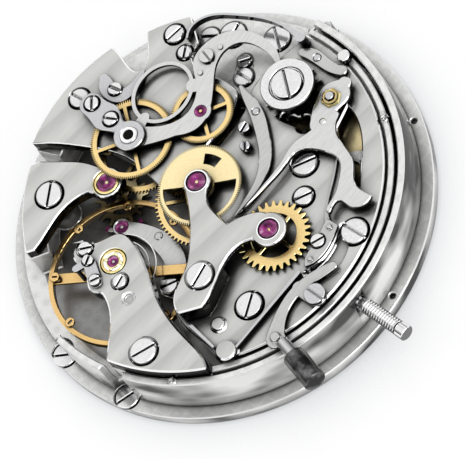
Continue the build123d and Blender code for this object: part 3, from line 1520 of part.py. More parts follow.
minute_high = minute_low + wheel_thickness
with BuildPart() as minute_wheel:
    wheel(
        minute, minute_low, minute_teeth, minute_radius, 0, wheel_spokes, wheel_hub,
        rim=minute_rim, corner_shares=broad_tooth_shares,
    )
    arbor(minute, barrel_top + shoulder_gap, under_jewel(arm_top), high_pivot=jewel_thickness)
save(minute_wheel.part, "minute_wheel")

with BuildPart() as minute_heart:
    heart(minute, minute_high + part_gap, heart_height, heart_angle, shaft_radius)
save(minute_heart.part, "minute_heart")

# Levers
clutch_lever_high = clutch_lever_low + clutch_lever_thickness
with BuildPart() as clutch_lever:
    with BuildSketch(Plane.XY.offset(clutch_lever_low)):
        with Locations(spot(clutch_window_share)):
            Ellipse(clutch_window_x + clutch_frame_width, clutch_window_y + clutch_frame_width)
            Ellipse(clutch_window_x, clutch_window_y, mode=Mode.SUBTRACT)
        ribbon(clutch_root_shares, clutch_root_half_shares)
        ribbon(clutch_arm_shares, clutch_arm_half_shares)
        for link in clutch_link_shares:
            ribbon(link, clutch_link_half_shares)
        with Locations(coupling):
            Circle(clutch_jewel_eye)
    extrude(amount=clutch_lever_thickness)
    cuts([fourth], pivot_radius + running_clearance, clutch_lever_low, clutch_lever_high)
    cuts([coupling], small_jewel_radius + fit_clearance, clutch_lever_low, clutch_lever_high)
    pins = [spot(share) for share in clutch_pin_shares]
    discs(pins, lever_pin_radius, clutch_lever_high, clutch_lever_high + lever_pin_rise)
    for row in clutch_cap_row_shares:
        discs([spot(row)], small_head, clutch_lever_high, clutch_lever_high + head_recess)
        with BuildSketch(Plane.XY.offset(clutch_lever_high + head_recess)):
            with Locations(Location((*spot(row), 0), (0, 0, row[2]))):
                Rectangle(2 * small_head + running_clearance, slot_width)
        extrude(amount=-slot_depth / 2, mode=Mode.SUBTRACT)
save(clutch_lever.part, "clutch_lever")

with BuildPart() as clutch_jewel:
    discs([coupling], small_jewel_radius, clutch_lever_low, clutch_lever_high)
    cuts([coupling], pivot_radius + running_clearance, clutch_lever_low, clutch_lever_high)
save(clutch_jewel.part, "clutch_jewel")

low_lever_high = low_lever + low_lever_thickness
with BuildPart() as brake_lever:
    with BuildSketch(Plane.XY.offset(low_lever)):
        ribbon(brake_route_shares, brake_half_shares)
    extrude(amount=low_lever_thickness)
    cuts([brake], stud_post_radius + running_clearance, low_lever, low_lever_high)
save(brake_lever.part, "brake_lever")

lever_high = lever_low + lever_thickness
with BuildPart() as reset_hammer:
    with BuildSketch(Plane.XY.offset(lever_low)):
        ribbon(hammer_head_shares, hammer_head_half_shares)
        outline(hammer_body_start_share, hammer_body_shares)
    extrude(amount=lever_thickness)
    cuts([hammer], hammer_stud_radius + running_clearance, lever_low, lever_high)
    discs([spot(hammer_pin_share)], lever_pin_radius, lever_high, lever_high + lever_pin_rise)
save(reset_hammer.part, "reset_hammer")

with BuildPart() as hammer_bush:
    discs([hammer], hammer_bush_radius, lever_high, lever_high + hammer_bush_rise)
    cuts([hammer], hammer_stud_radius + running_clearance, lever_high, lever_high + hammer_bush_rise)
save(hammer_bush.part, "hammer_bush")

with BuildPart() as start_lever:
    with BuildSketch(Plane.XY.offset(low_lever)):
        ribbon(start_lever_shares, start_lever_half_shares)
    extrude(amount=low_lever_thickness)
    cuts([start], stud_post_radius + running_clearance, low_lever, low_lever_high)
save(start_lever.part, "start_lever")

pusher_start = spot(pusher_start_share)
pusher_height = low_lever_high
pusher_end = away(pusher_start, pusher_angle, pusher_length)
with BuildPart() as operating_lever:
    with BuildSketch(Plane.XY.offset(low_lever)):
        ribbon(operating_route_shares, operating_half_shares)
        ribbon(operating_eye_shares, operating_eye_half_shares)
    extrude(amount=low_lever_thickness)
    cuts([operating], shoulder_radius + running_clearance, low_lever, low_lever_high)
    rod(pusher_start, pusher_height, pusher_angle, pusher_length, pusher_radius, Mode.SUBTRACT)
    pin_top = low_lever_high + pusher_pin_rise
    discs([spot(operating_route_shares[0])], pusher_pin_radius, low_lever, pin_top)
save(operating_lever.part, "operating_lever")

with BuildPart() as pusher_stud:
    rod(pusher_start, pusher_height, pusher_angle, pusher_length, pusher_radius)
    rod(pusher_end, pusher_height, pusher_angle + 180, pusher_collar_length, pusher_collar_radius)
save(pusher_stud.part, "pusher_stud")

with BuildPart() as lever_studs:
    discs([hammer], hammer_stud_radius, barrel_top, lever_high + hammer_stud_rise)
    discs([brake, start], stud_post_radius, barrel_top, low_lever_high + shoulder_gap / 2)
    discs([operating], shoulder_radius, barrel_top, low_lever_high + running_clearance)
    shoulder_low = low_lever_high + running_clearance
    discs([operating], shoulder_head, shoulder_low, shoulder_low + head_height)
    with BuildSketch(Plane.XY.offset(shoulder_low + head_height)):
        with Locations(operating):
            Rectangle(2 * shoulder_head + running_clearance, slot_width)
    extrude(amount=-slot_depth, mode=Mode.SUBTRACT)
    eccentric_high = low_lever_high + head_recess
    eccentrics = [
        (spot(eccentric_share), eccentric_radius, eccentric_slot_angle),
        (spot(brake_stop_share), brake_stop_radius, brake_stop_slot_angle),
    ]
    for place, radius, angle in eccentrics:
        discs([place], radius, barrel_top, eccentric_high)
        with BuildSketch(Plane.XY.offset(eccentric_high)):
            with Locations(Location((*place, 0), (0, 0, angle))):
                Rectangle(2 * radius + running_clearance, slot_width)
        extrude(amount=-slot_depth, mode=Mode.SUBTRACT)
save(lever_studs.part, "lever_studs")

# Column wheel
ratchet_high = low_lever + column_ratchet_thickness
column_high = ratchet_high + column_height
with BuildPart() as column_wheel:
    pinion(column, low_lever, ratchet_high, ratchet_teeth, column_ratchet_radius, 0)
    with BuildSketch(plane_at(column, ratchet_high)):
        with PolarLocations(column_circle, column_count, start_angle=column_gap_angle + 180 / column_count):
            Rectangle(column_depth, column_width)
        Circle(column_circle - column_depth / 2 + part_gap)
    extrude(amount=column_height)
    cuts([column], column_stem_radius + running_clearance, low_lever, column_high)
save(column_wheel.part, "column_wheel")

cap_low = column_high + part_gap
cap_high = cap_low + cap_height
with BuildPart() as column_wheel_cap:
    discs([column], column_stem_radius, barrel_top - pivot_length, cap_low)
    discs([column], cap_radius, cap_low, cap_high - head_edge)
    with BuildSketch(plane_at(column, cap_high - head_edge)):
        Circle(cap_radius)
    extrude(amount=head_edge, taper=head_taper)
    with BuildSketch(plane_at(column, cap_high)):
        Circle(cap_screw_radius + cap_groove_width)
        Circle(cap_screw_radius, mode=Mode.SUBTRACT)
    extrude(amount=-cap_groove, mode=Mode.SUBTRACT)
    discs([column], cap_screw_radius, cap_high, cap_high + cap_screw_rise)
    with BuildSketch(Plane.XY.offset(cap_high + cap_screw_rise)):
        with Locations(Location((*column, 0), (0, 0, cap_slot_angle))):
            Rectangle(2 * cap_screw_radius + part_gap, slot_width)
    extrude(amount=-cap_groove, mode=Mode.SUBTRACT)
save(column_wheel_cap.part, "column_wheel_cap")

# Springs
with BuildPart() as minute_jumper:
    with BuildSketch(Plane.XY.offset(barrel_top)):
        outline(jumper_start_share, jumper_shares)
    extrude(amount=low_lever_thickness)
    with BuildSketch(Plane.XY.offset(barrel_top + part_gap)):
        ribbon(jumper_wire_shares, jumper_wire_half_shares)
    extrude(amount=blade_gap)
    pins = [spot(share) for share in jumper_pin_shares]
    discs(pins, lever_pin_radius, barrel_top + low_lever_thickness, barrel_top + lever_lift)
    screw_seats(*jumper_screws)
save(minute_jumper.part, "minute_jumper")

with BuildPart() as blade_springs:
    spring_low = train_top + shoulder_gap
    with BuildSketch(Plane.XY.offset(spring_low)):
        ribbon(clutch_spring_shares, clutch_spring_half_shares)
    extrude(amount=blade_height)
    foot_radius = clutch_spring_half_shares[0] * works
    discs([spot(clutch_spring_shares[0])], foot_radius, barrel_top, spring_low)
    with BuildSketch(Plane.XY.offset(train_top)):
        ribbon(side_spring_shares, side_spring_half_shares)
    extrude(amount=spring_height)
    screw_seats(*spring_foot)
    with BuildSketch(Plane.XY.offset(barrel_top)):
        ribbon(long_blade_shares, blade_half_shares)
        ribbon(bar_spring_shares, blade_half_shares)
    extrude(amount=low_lever_high - barrel_top)
save(blade_springs.part, "blade_springs")

# Winding works
with BuildPart() as winding_pinion:
    with BuildSketch(Plane.YZ.offset(winding_pinion_at)) as disc:
        with Locations((0, stem_height)):
            Circle(winding_pinion_radius)
            with PolarLocations(winding_pinion_radius, winding_pinion_teeth):
                Rectangle(part_gap, part_gap)
            Circle(stem_bore_radius, mode=Mode.SUBTRACT)
    extrude(amount=winding_pinion_length)
save(winding_pinion.part, "winding_pinion")

with BuildPart() as sliding_pinion:
    with BuildSketch(Plane.YZ.offset(sliding_pinion_at)):
        with Locations((0, stem_height)):
            Circle(winding_pinion_radius + part_gap)
            square = stem_square + 2 * running_clearance
            Rectangle(square, square, mode=Mode.SUBTRACT)
    extrude(amount=sliding_pinion_length)
    middle_at = sliding_pinion_at + sliding_pinion_length / 2
    with BuildSketch(Plane.YZ.offset(middle_at - stem_groove_width / 2)):
        with Locations((0, stem_height)):
            Circle(winding_pinion_radius + overrun)
            Circle(winding_pinion_radius, mode=Mode.SUBTRACT)
    extrude(amount=stem_groove_width, mode=Mode.SUBTRACT)
save(sliding_pinion.part, "sliding_pinion")

with BuildPart() as winding_stem:
    rod((stem_inner_end, 0), stem_height, 0, stem_pilot_length, stem_pilot_radius)
    with BuildSketch(Plane.YZ.offset(stem_inner_end + stem_pilot_length)):
        with Locations((0, stem_height)):
            Rectangle(stem_square, stem_square)
    extrude(amount=stem_square_end - stem_inner_end - stem_pilot_length)
    rod((stem_square_end, 0), stem_height, 0, stem_tip - stem_square_end, stem_radius)
    rod((stem_tip, 0), stem_height, 180, stem_thread_length, stem_thread_radius)
    with BuildSketch(Plane.YZ.offset(stem_groove_at - stem_groove_width / 2)):
        with Locations((0, stem_height)):
            Circle(stem_radius + part_gap)
            Circle(stem_groove_radius, mode=Mode.SUBTRACT)
    extrude(amount=stem_groove_width, mode=Mode.SUBTRACT)
save(winding_stem.part, "winding_stem")

with BuildPart() as setting_lever:
    with BuildSketch(Plane.XY.offset(setting_lever_low)):
        ribbon(setting_lever_shares, setting_lever_half_shares)
    extrude(amount=setting_lever_thickness)
    setting_high = setting_lever_low + setting_lever_thickness
    cuts([setting], stud_post_radius + running_clearance, setting_lever_low, setting_high)
save(setting_lever.part, "setting_lever")
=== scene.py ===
import math
import bpy
from mathutils import Matrix, Vector


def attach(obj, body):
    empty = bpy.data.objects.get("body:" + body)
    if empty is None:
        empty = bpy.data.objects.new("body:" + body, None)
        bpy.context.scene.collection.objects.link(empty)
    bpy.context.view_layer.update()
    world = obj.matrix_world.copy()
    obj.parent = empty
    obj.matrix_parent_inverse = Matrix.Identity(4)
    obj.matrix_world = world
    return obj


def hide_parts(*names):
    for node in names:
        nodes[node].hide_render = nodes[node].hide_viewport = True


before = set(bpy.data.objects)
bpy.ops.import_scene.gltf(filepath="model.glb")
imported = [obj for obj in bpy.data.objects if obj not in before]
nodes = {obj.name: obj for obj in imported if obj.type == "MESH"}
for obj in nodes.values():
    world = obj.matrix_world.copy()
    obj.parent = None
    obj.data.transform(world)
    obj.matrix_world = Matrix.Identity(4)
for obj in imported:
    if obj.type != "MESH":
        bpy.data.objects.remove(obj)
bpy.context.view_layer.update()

MM = 0.001
scene = bpy.context.scene
scene.view_settings.view_transform = "Standard"

# Camera, at the photograph's viewing angle
AZIMUTH, ELEVATION, ROLL = (math.radians(angle) for angle in (76.692, 57.697, -39.782))
DISTANCE, SHIFT_X, SHIFT_Y = 500 * MM, 0.343 * MM, -0.714 * MM
FOCAL_PIXELS, PICTURE_WIDTH, SENSOR = 7421.277, 465, 36
NEAREST, FARTHEST = 0.01, 10
back = Vector((math.sin(AZIMUTH) * math.cos(ELEVATION),
               -math.cos(AZIMUTH) * math.cos(ELEVATION),
               math.sin(ELEVATION)))
level = Vector((math.cos(AZIMUTH), math.sin(AZIMUTH), 0))
upright = back.cross(level)
right = math.cos(ROLL) * level + math.sin(ROLL) * upright
up = -math.sin(ROLL) * level + math.cos(ROLL) * upright
camera_data = bpy.data.cameras.new("camera")
camera_data.sensor_width = SENSOR
camera_data.lens = FOCAL_PIXELS / PICTURE_WIDTH * SENSOR
camera_data.clip_start = NEAREST
camera_data.clip_end = FARTHEST
camera = bpy.data.objects.new("camera", camera_data)
aimed = Matrix((right, up, back)).transposed().to_4x4()
camera.matrix_world = Matrix.Translation(back * DISTANCE + right * SHIFT_X + up * SHIFT_Y) @ aimed
scene.collection.objects.link(camera)
scene.camera = camera


# Shader helpers
WHITE = (1, 1, 1)


def material(name):
    made = bpy.data.materials.new(name)
    made.use_nodes = True
    tree = made.node_tree
    return made, tree, tree.nodes["Principled BSDF"]


def node(tree, kind, **values):
    made = tree.nodes.new(kind)
    for key, value in values.items():
        setattr(made, key, value)
    return made


def maths(tree, operation, first, second=None, third=None):
    made = node(tree, "ShaderNodeMath", operation=operation)
    for socket, value in zip(made.inputs, (first, second, third)):
        if value is None:
            continue
        if isinstance(value, (int, float)):
            socket.default_value = value
        else:
            tree.links.new(value, socket)
    return made.outputs[0]


def ramp(tree, factor, stops):
    made = node(tree, "ShaderNodeValToRGB")
    elements = made.color_ramp.elements
    while len(elements) < len(stops):
        elements.new(0.5)
    for element, (place, colour) in zip(elements, stops):
        element.position = place
        element.color = (*colour, 1)
    tree.links.new(factor, made.inputs[0])
    return made.outputs[0]


def grey(value, tint=WHITE):
    return tuple(value * part for part in tint)


def tones(pairs, tint=WHITE):
    """The stops of a ramp, from places and shares of a colour."""
    return [(place, grey(value, tint)) for place, value in pairs]


def object_place(tree):
    coordinate = node(tree, "ShaderNodeTexCoord")
    split = node(tree, "ShaderNodeSeparateXYZ")
    tree.links.new(coordinate.outputs["Object"], split.inputs[0])
    return coordinate.outputs["Object"], split


def noise_of(tree, place, scale, stretch=WHITE, detail=3):
    mapping = node(tree, "ShaderNodeMapping")
    mapping.inputs["Scale"].default_value = stretch
    tree.links.new(place, mapping.inputs[0])
    noise = node(tree, "ShaderNodeTexNoise")
    noise.inputs["Scale"].default_value = scale
    noise.inputs["Detail"].default_value = detail
    tree.links.new(mapping.outputs[0], noise.inputs["Vector"])
    return noise.outputs["Fac"]


def blended(tree, factor, first, second, kind="MIX"):
    """Mixes two colours or colour sockets."""
    made = node(tree, "ShaderNodeMix", data_type="RGBA", blend_type=kind)
    for socket, value in ((made.inputs[0], factor), (made.inputs[6], first), (made.inputs[7], second)):
        if isinstance(value, (int, float)):
            socket.default_value = value
        elif isinstance(value, tuple):
            socket.default_value = (*value, 1)
        else:
            tree.links.new(value, socket)
    return made.outputs[2]


def times(tree, first, second):
    """The product of two colours."""
    return blended(tree, 1.0, first, second, "MULTIPLY")


# Metal finishes, with painted shade in the hollows and gaps, painted shade on the sides and a painted highlight on
# the bevels
# Painted shade from ambient occlusion: reach, samples and ramp in the hollows, and a short reach for thin dark
# lines where pieces meet
HOLLOW_REACH, CONTACT_SHADE_REACH = 1.3 * MM, 0.22 * MM
HOLLOW_SAMPLES = 4
HOLLOW_PLACES = (0.4, 0.86)
CONTACT_SHADE_TONES = [(0.5, 0.1), (0.82, 1.0)]
SIDE_BELOW, LEVEL_ABOVE = 0.35, 0.97
POLISHED_ROUGHNESS = 0.12
# Colour of the painted highlight on the bevels
BEVEL_HIGHLIGHT = 0.98


def upward(tree):
    """How far a face looks up: 0 for a side, 1 for a level face."""
    geometry = node(tree, "ShaderNodeNewGeometry")
    split = node(tree, "ShaderNodeSeparateXYZ")
    tree.links.new(geometry.outputs["True Normal"], split.inputs[0])
    return maths(tree, "ABSOLUTE", split.outputs[2])


def openness(tree, reach, samples=HOLLOW_SAMPLES):
    """How open a point is within a reach: 0 deep in a hollow, 1 in the open."""
    made = node(tree, "ShaderNodeAmbientOcclusion")
    made.samples = samples
    made.inputs["Distance"].default_value = reach
    return made.outputs["AO"]


def painted_depth_shade(tree, colour, reach, deepest_shade):
    """Paints shade into a colour: darker in the corners and the gaps between pieces, with thin dark lines of
    painted shade where pieces meet.
    """
    shade = ramp(tree, openness(tree, reach), tones(zip(HOLLOW_PLACES, (deepest_shade, 1.0))))
    thin_contact_shade = ramp(tree, openness(tree, CONTACT_SHADE_REACH), tones(CONTACT_SHADE_TONES))
    return times(tree, times(tree, colour, shade), thin_contact_shade)


def finish_metal(tree, shader, top, side, bevel, roughness, reach=HOLLOW_REACH, deepest_shade=0.03):
    """Level faces, with a painted highlight on the bevels, painted shade on the sides and painted shade in the
    hollows.
    """
    level_face = upward(tree)
    shader.inputs["Metallic"].default_value = 1
    above_side = maths(tree, "GREATER_THAN", level_face, SIDE_BELOW)
    is_bevel = maths(tree, "MULTIPLY", above_side, maths(tree, "LESS_THAN", level_face, LEVEL_ABOVE))
    is_side = maths(tree, "LESS_THAN", level_face, SIDE_BELOW)
    # The sides take their own colour: painted shade, or painted reflections on the plates
    colour = blended(tree, is_side, top, side)
    colour = painted_depth_shade(tree, colour, reach, deepest_shade)
    # Painted highlight: the bevels take a pale colour
    colour = blended(tree, is_bevel, colour, bevel)
    tree.links.new(colour, shader.inputs["Base Color"])
    smoother = POLISHED_ROUGHNESS - roughness
    polished = maths(tree, "MULTIPLY", maths(tree, "MAXIMUM", is_bevel, is_side), smoother)
    tree.links.new(maths(tree, "ADD", polished, roughness), shader.inputs["Roughness"])


GRAIN_SCALE, GRAIN_PLACES, GRAIN_SPREAD = 7000, (0.3, 0.7), 0.06
BEVEL_HIGHLIGHT_GAIN = 1.6
ALONG_Y = (1, 0.15, 1)


def metal(name, colour, roughness, stretch=WHITE, side_shade_share=0.08, deepest_shade=0.04):
    """Finely grained metal in one colour, with a painted highlight on the bevels and painted shade on the sides
    and in the hollows.
    """
    made, tree, shader = material(name)
    place, _ = object_place(tree)
    low = tuple(part * (1 - GRAIN_SPREAD) for part in colour)
    high = tuple(min(part * (1 + GRAIN_SPREAD), 1) for part in colour)
    top = ramp(tree, noise_of(tree, place, GRAIN_SCALE, stretch), list(zip(GRAIN_PLACES, (low, high))))
    # Painted shade on the sides and a painted highlight on the bevels
    side = grey(side_shade_share, colour)
    bevel = tuple(min(part * BEVEL_HIGHLIGHT_GAIN, BEVEL_HIGHLIGHT) for part in colour)
    finish_metal(tree, shader, top, side, bevel, roughness, deepest_shade=deepest_shade)
    return made


STRIPE_ANGLE, STRIPE_PITCH, STRIPE_START = math.radians(-10), 2.0 * MM, 100
STRIPE_TONES = [(0.0, 0.87), (0.2, 0.93), (0.6, 1.1), (0.9, 1.03), (1.0, 0.87)]
BRUSHED_SCALE, BRUSHED_STRETCH, BRUSHED_DETAIL = 3000, (1, 0.12, 1), 5
BRUSHED_TONES = [(0.3, 0.92), (0.7, 1.0)]
SATIN_ROUGHNESS, SATIN_SIDE_SHADE = 0.3, 0.06


def striped(name, colour):
    """Straight satin stripes across the bridges."""
    made, tree, shader = material(name)
    place, split = object_place(tree)
    across = maths(tree, "MULTIPLY", split.outputs[0], math.cos(STRIPE_ANGLE) / STRIPE_PITCH)
    across = maths(tree, "MULTIPLY_ADD", split.outputs[1], math.sin(STRIPE_ANGLE) / STRIPE_PITCH, across)
    band = maths(tree, "FRACT", maths(tree, "ADD", across, STRIPE_START))
    brushed = noise_of(tree, place, BRUSHED_SCALE, BRUSHED_STRETCH, BRUSHED_DETAIL)
    top = times(tree, ramp(tree, band, tones(STRIPE_TONES, colour)), ramp(tree, brushed, tones(BRUSHED_TONES)))
    # Painted shade on the sides and a painted highlight on the bevels
    finish_metal(tree, shader, top, grey(SATIN_SIDE_SHADE, colour), grey(BEVEL_HIGHLIGHT), SATIN_ROUGHNESS)
    return made


CELL_PITCH, CELL_RANDOMNESS, CELL_RINGS = 1.0 * MM, 0.12, 42.0
CELL_TONES = [(0.0, 1.04), (0.42, 0.94), (0.6, 1.1)]
RING_TONES = [(0.0, 0.93), (1.0, 1.0)]
FLOOR_RADIUS, FLOOR_HEIGHT, PLATE_FLOOR_SHADE_TONES = 12.8 * MM, 3.0 * MM, [(0.0, 1.0), (1.0, 0.34)]
CLOUD_SCALE, CLOUD_STRETCH, CLOUD_DETAIL = 160, (1, 1, 2.5), 2
SIDE_REFLECTION_TONES = [(0.40, 0.08), (0.5, 0.5), (0.62, 0.95)]
PLATE_REACH, PLATE_DEEPEST_SHADE, PLATE_METALLIC = 1.2 * MM, 0.15, 0.4


def circled(name, colour):
    """Overlapping round grain on the plates, with painted shade: the floor under the wheels is darker than the
    flange and the rim. The sides carry painted reflections.
    """
    made, tree, shader = material(name)
    place, split = object_place(tree)
    cells = node(tree, "ShaderNodeTexVoronoi")
    cells.inputs["Scale"].default_value = 1 / CELL_PITCH
    cells.inputs["Randomness"].default_value = CELL_RANDOMNESS
    tree.links.new(place, cells.inputs["Vector"])
    from_middle = cells.outputs["Distance"]
    rings = maths(tree, "SINE", maths(tree, "MULTIPLY", from_middle, CELL_RINGS))
    rings = ramp(tree, maths(tree, "MULTIPLY_ADD", rings, 0.5, 0.5), tones(RING_TONES))
    shade = times(tree, ramp(tree, from_middle, tones(CELL_TONES, colour)), rings)
    squares = [maths(tree, "POWER", split.outputs[way], 2) for way in (0, 1)]
    radius = maths(tree, "SQRT", maths(tree, "ADD", *squares))
    # Painted shade: the plate floor within the rim and below the bridges is darker
    is_within = maths(tree, "LESS_THAN", radius, FLOOR_RADIUS)
    is_floor = maths(tree, "MULTIPLY", is_within, maths(tree, "LESS_THAN", split.outputs[2], FLOOR_HEIGHT))
    shade = times(tree, shade, ramp(tree, is_floor, tones(PLATE_FLOOR_SHADE_TONES)))
    # Painted reflections: dark and bright clouds on the sides of the plates
    clouds = ramp(tree, noise_of(tree, place, CLOUD_SCALE, CLOUD_STRETCH, CLOUD_DETAIL), tones(SIDE_REFLECTION_TONES))
    side = times(tree, grey(1.0, colour), clouds)
    finish_metal(tree, shader, shade, side, grey(BEVEL_HIGHLIGHT), SATIN_ROUGHNESS, PLATE_REACH, PLATE_DEEPEST_SHADE)
    shader.inputs["Metallic"].default_value = PLATE_METALLIC
    return made


def plain(name, colour, roughness=0.5, metallic=0, specular=0.5):
    """One colour all over."""
    made, _, shader = material(name)
    shader.inputs["Base Color"].default_value = (*colour, 1)
    shader.inputs["Roughness"].default_value = roughness
    shader.inputs["Metallic"].default_value = metallic
    shader.inputs["Specular IOR Level"].default_value = specular
    return made


PUSH_ANGLE, COLLAR_START = math.radians(-13), 14.65 * MM
ROD_GREY, COLLAR_HIGHLIGHT_SCALE, COLLAR_HIGHLIGHT_TONES = 0.5, 900, [(0.4, 0.02), (0.62, 0.22)]
STUD_ROUGHNESS = 0.22


def stud_with_painted_highlights(name):
    """The bright rod of the pusher, with a black collar farther out that carries painted highlight patches."""
    made, tree, shader = material(name)
    place, split = object_place(tree)
    first = maths(tree, "MULTIPLY", split.outputs[0], math.cos(PUSH_ANGLE))
    along = maths(tree, "MULTIPLY_ADD", split.outputs[1], math.sin(PUSH_ANGLE), first)
    is_collar = maths(tree, "GREATER_THAN", along, COLLAR_START)
    # Painted highlights: lighter patches of noise on the black collar
    collar_highlights = ramp(tree, noise_of(tree, place, COLLAR_HIGHLIGHT_SCALE), tones(COLLAR_HIGHLIGHT_TONES))
    tree.links.new(blended(tree, is_collar, grey(ROD_GREY), collar_highlights), shader.inputs["Base Color"])
    shader.inputs["Metallic"].default_value = 1
    shader.inputs["Roughness"].default_value = STUD_ROUGHNESS
    return made


RUBY_SHEEN_BLEND, RUBY_EDGE_SHEEN, RUBY_ROUGHNESS, RUBY_SPECULAR = 0.35, (0.7, 0.2, 0.5), 0.06, 0.5
RUBY_SCALE, RUBY_DETAIL = 1800, 2
RUBY_SPARKLE_STOPS = [(0.38, (0.06, 0.0, 0.045)), (0.5, (0.34, 0.012, 0.2)), (0.6, (0.62, 0.06, 0.38)),
              (0.68, (0.95, 0.5, 0.8))]


def ruby_with_painted_sparkle(name):
    """Ruby in darker and lighter clouds, the palest of them painted highlights, with a painted pale sheen towards
    the edge.
    """
    made, tree, shader = material(name)
    facing = node(tree, "ShaderNodeLayerWeight")
    facing.inputs["Blend"].default_value = RUBY_SHEEN_BLEND
    place, _ = object_place(tree)
    # The palest stop of the clouds is a painted highlight
    tone = ramp(tree, noise_of(tree, place, RUBY_SCALE, detail=RUBY_DETAIL), RUBY_SPARKLE_STOPS)
    # Painted sheen: paler towards the edge as the surface turns from the view
    tree.links.new(blended(tree, facing.outputs["Facing"], tone, RUBY_EDGE_SHEEN), shader.inputs["Base Color"])
    shader.inputs["Roughness"].default_value = RUBY_ROUGHNESS
    shader.inputs["Specular IOR Level"].default_value = RUBY_SPECULAR
    return made


striped_steel = striped("striped_bridge", (0.50, 0.50, 0.485))
plate_steel = circled("round_grained_plate", (0.97, 0.97, 0.95))
lever_steel = metal("lever_steel", (0.43, 0.43, 0.425), 0.2, ALONG_Y)
black_steel = metal("polished_steel", (0.44, 0.44, 0.45), 0.12)
hammer_steel = metal("hammer_steel", (0.52, 0.52, 0.515), 0.2, ALONG_Y)
screw_steel = metal("screw_steel", (0.60, 0.60, 0.60), 0.16, side_shade_share=0.3)
gold = metal("wheel_gold", (0.80, 0.67, 0.38), 0.28, side_shade_share=0.2)
deep_gold = metal("deep_gold", (0.74, 0.55, 0.25), 0.25, side_shade_share=0.12)
balance_gold = metal("balance_gold", (0.64, 0.43, 0.18), 0.2, side_shade_share=0.6)
spring_steel = metal("spring_steel", (0.80, 0.78, 0.75), 0.3, side_shade_share=0.9, deepest_shade=0.6)
dark_steel = stud_with_painted_highlights("dark_steel")
# Painted shade: near-black sheets and discs put where recesses and holes are in shade
painted_hollow_shade = plain("painted_hollow_shade", (0.008, 0.007, 0.006), 0.25, specular=0.05)
# Polished metal whose pale colour is partly a painted highlight, for thin rings at the jewels and the eyelet
polished_rim_highlight = plain("polished_rim_highlight", (0.9, 0.9, 0.9), 0.15, metallic=1)
white_paint = plain("date_white", (0.85, 0.85, 0.83))
ruby = ruby_with_painted_sparkle("ruby")

LOOKS = {
    plate_steel: ["calendar_plate", "main_plate"],
    striped_steel: ["barrel_bridge", "train_bridge", "escape_bridge", "balance_cock", "chronograph_bridge"],
    hammer_steel: ["reset_hammer", "clutch_lever"],
    lever_steel: ["pallet_bridge", "brake_lever", "start_lever", "operating_lever", "minute_jumper",
                  "column_wheel", "crown_wheel", "ratchet_wheel", "click", "setting_lever", "winding_pinion",
                  "sliding_pinion", "pallet_fork", "balance_staff", "runner_heart", "minute_heart",
                  "barrel_arbor", "cannon_pinion"],
    black_steel: ["driving_wheel_cock", "stud_holder", "lever_studs", "blade_springs", "click_spring"],
    screw_steel: ["large_screws", "medium_screws", "small_screws", "dog_screws", "column_wheel_cap",
                  "winding_stem"],
    gold: ["chronograph_runner", "barrel", "escape_wheel"],
    deep_gold: ["jewel_chatons", "hammer_bush", "centre_wheel", "third_wheel", "fourth_wheel", "driving_wheel",
                "coupling_wheel", "minute_wheel", "hour_wheel", "minute_works_wheel"],
    balance_gold: ["balance_wheel", "balance_weights"],
    spring_steel: ["hairspring", "mainspring"],
    ruby: ["bridge_jewels", "clutch_jewel", "pallet_stones"],
    dark_steel: ["pusher_stud"],
    white_paint: ["date_ring"],
}
for look, names in LOOKS.items():
    for name in names:
        piece = nodes[name]
        for slot in piece.material_slots:
            slot.material = look
        if not piece.material_slots:
            piece.data.materials.append(look)

# Bevelled edges, bright from the painted highlight on the bevels, by their width in mm
EDGES = {
    0.11: ["barrel_bridge", "train_bridge", "escape_bridge", "balance_cock", "chronograph_bridge"],
    0.08: ["calendar_plate", "main_plate"],
    0.07: ["reset_hammer", "driving_wheel_cock"],
    0.055: ["brake_lever", "start_lever", "operating_lever", "pallet_bridge"],
    0.05: ["jewel_chatons", "large_screws", "medium_screws", "small_screws", "dog_screws", "column_wheel_cap",
           "lever_studs", "pusher_stud"],
    0.03: ["minute_wheel", "balance_wheel", "balance_weights"],
    0.025: ["minute_jumper", "stud_holder"],
}
WELD_DISTANCE, LEVEL_ANGLE, EDGE_ANGLE = 0.002 * MM, math.radians(0.5), math.radians(50)
UNMERGED = "main_plate"
for width, names in EDGES.items():
    for name in names:
        weld = nodes[name].modifiers.new("weld", "WELD")
        weld.merge_threshold = WELD_DISTANCE
        if name != UNMERGED:
            merge = nodes[name].modifiers.new("level", "DECIMATE")
            merge.decimate_type = "DISSOLVE"
            merge.angle_limit = LEVEL_ANGLE
        bevel = nodes[name].modifiers.new("edge", "BEVEL")
        bevel.width = width * MM
        bevel.segments = 1
        bevel.limit_method = "ANGLE"
        bevel.angle_limit = EDGE_ANGLE
        bevel.use_clamp_overlap = False


# Turned pieces, finer than their solids, with their lengths in mm
ROUND, SIX_SIDED = 48, 6


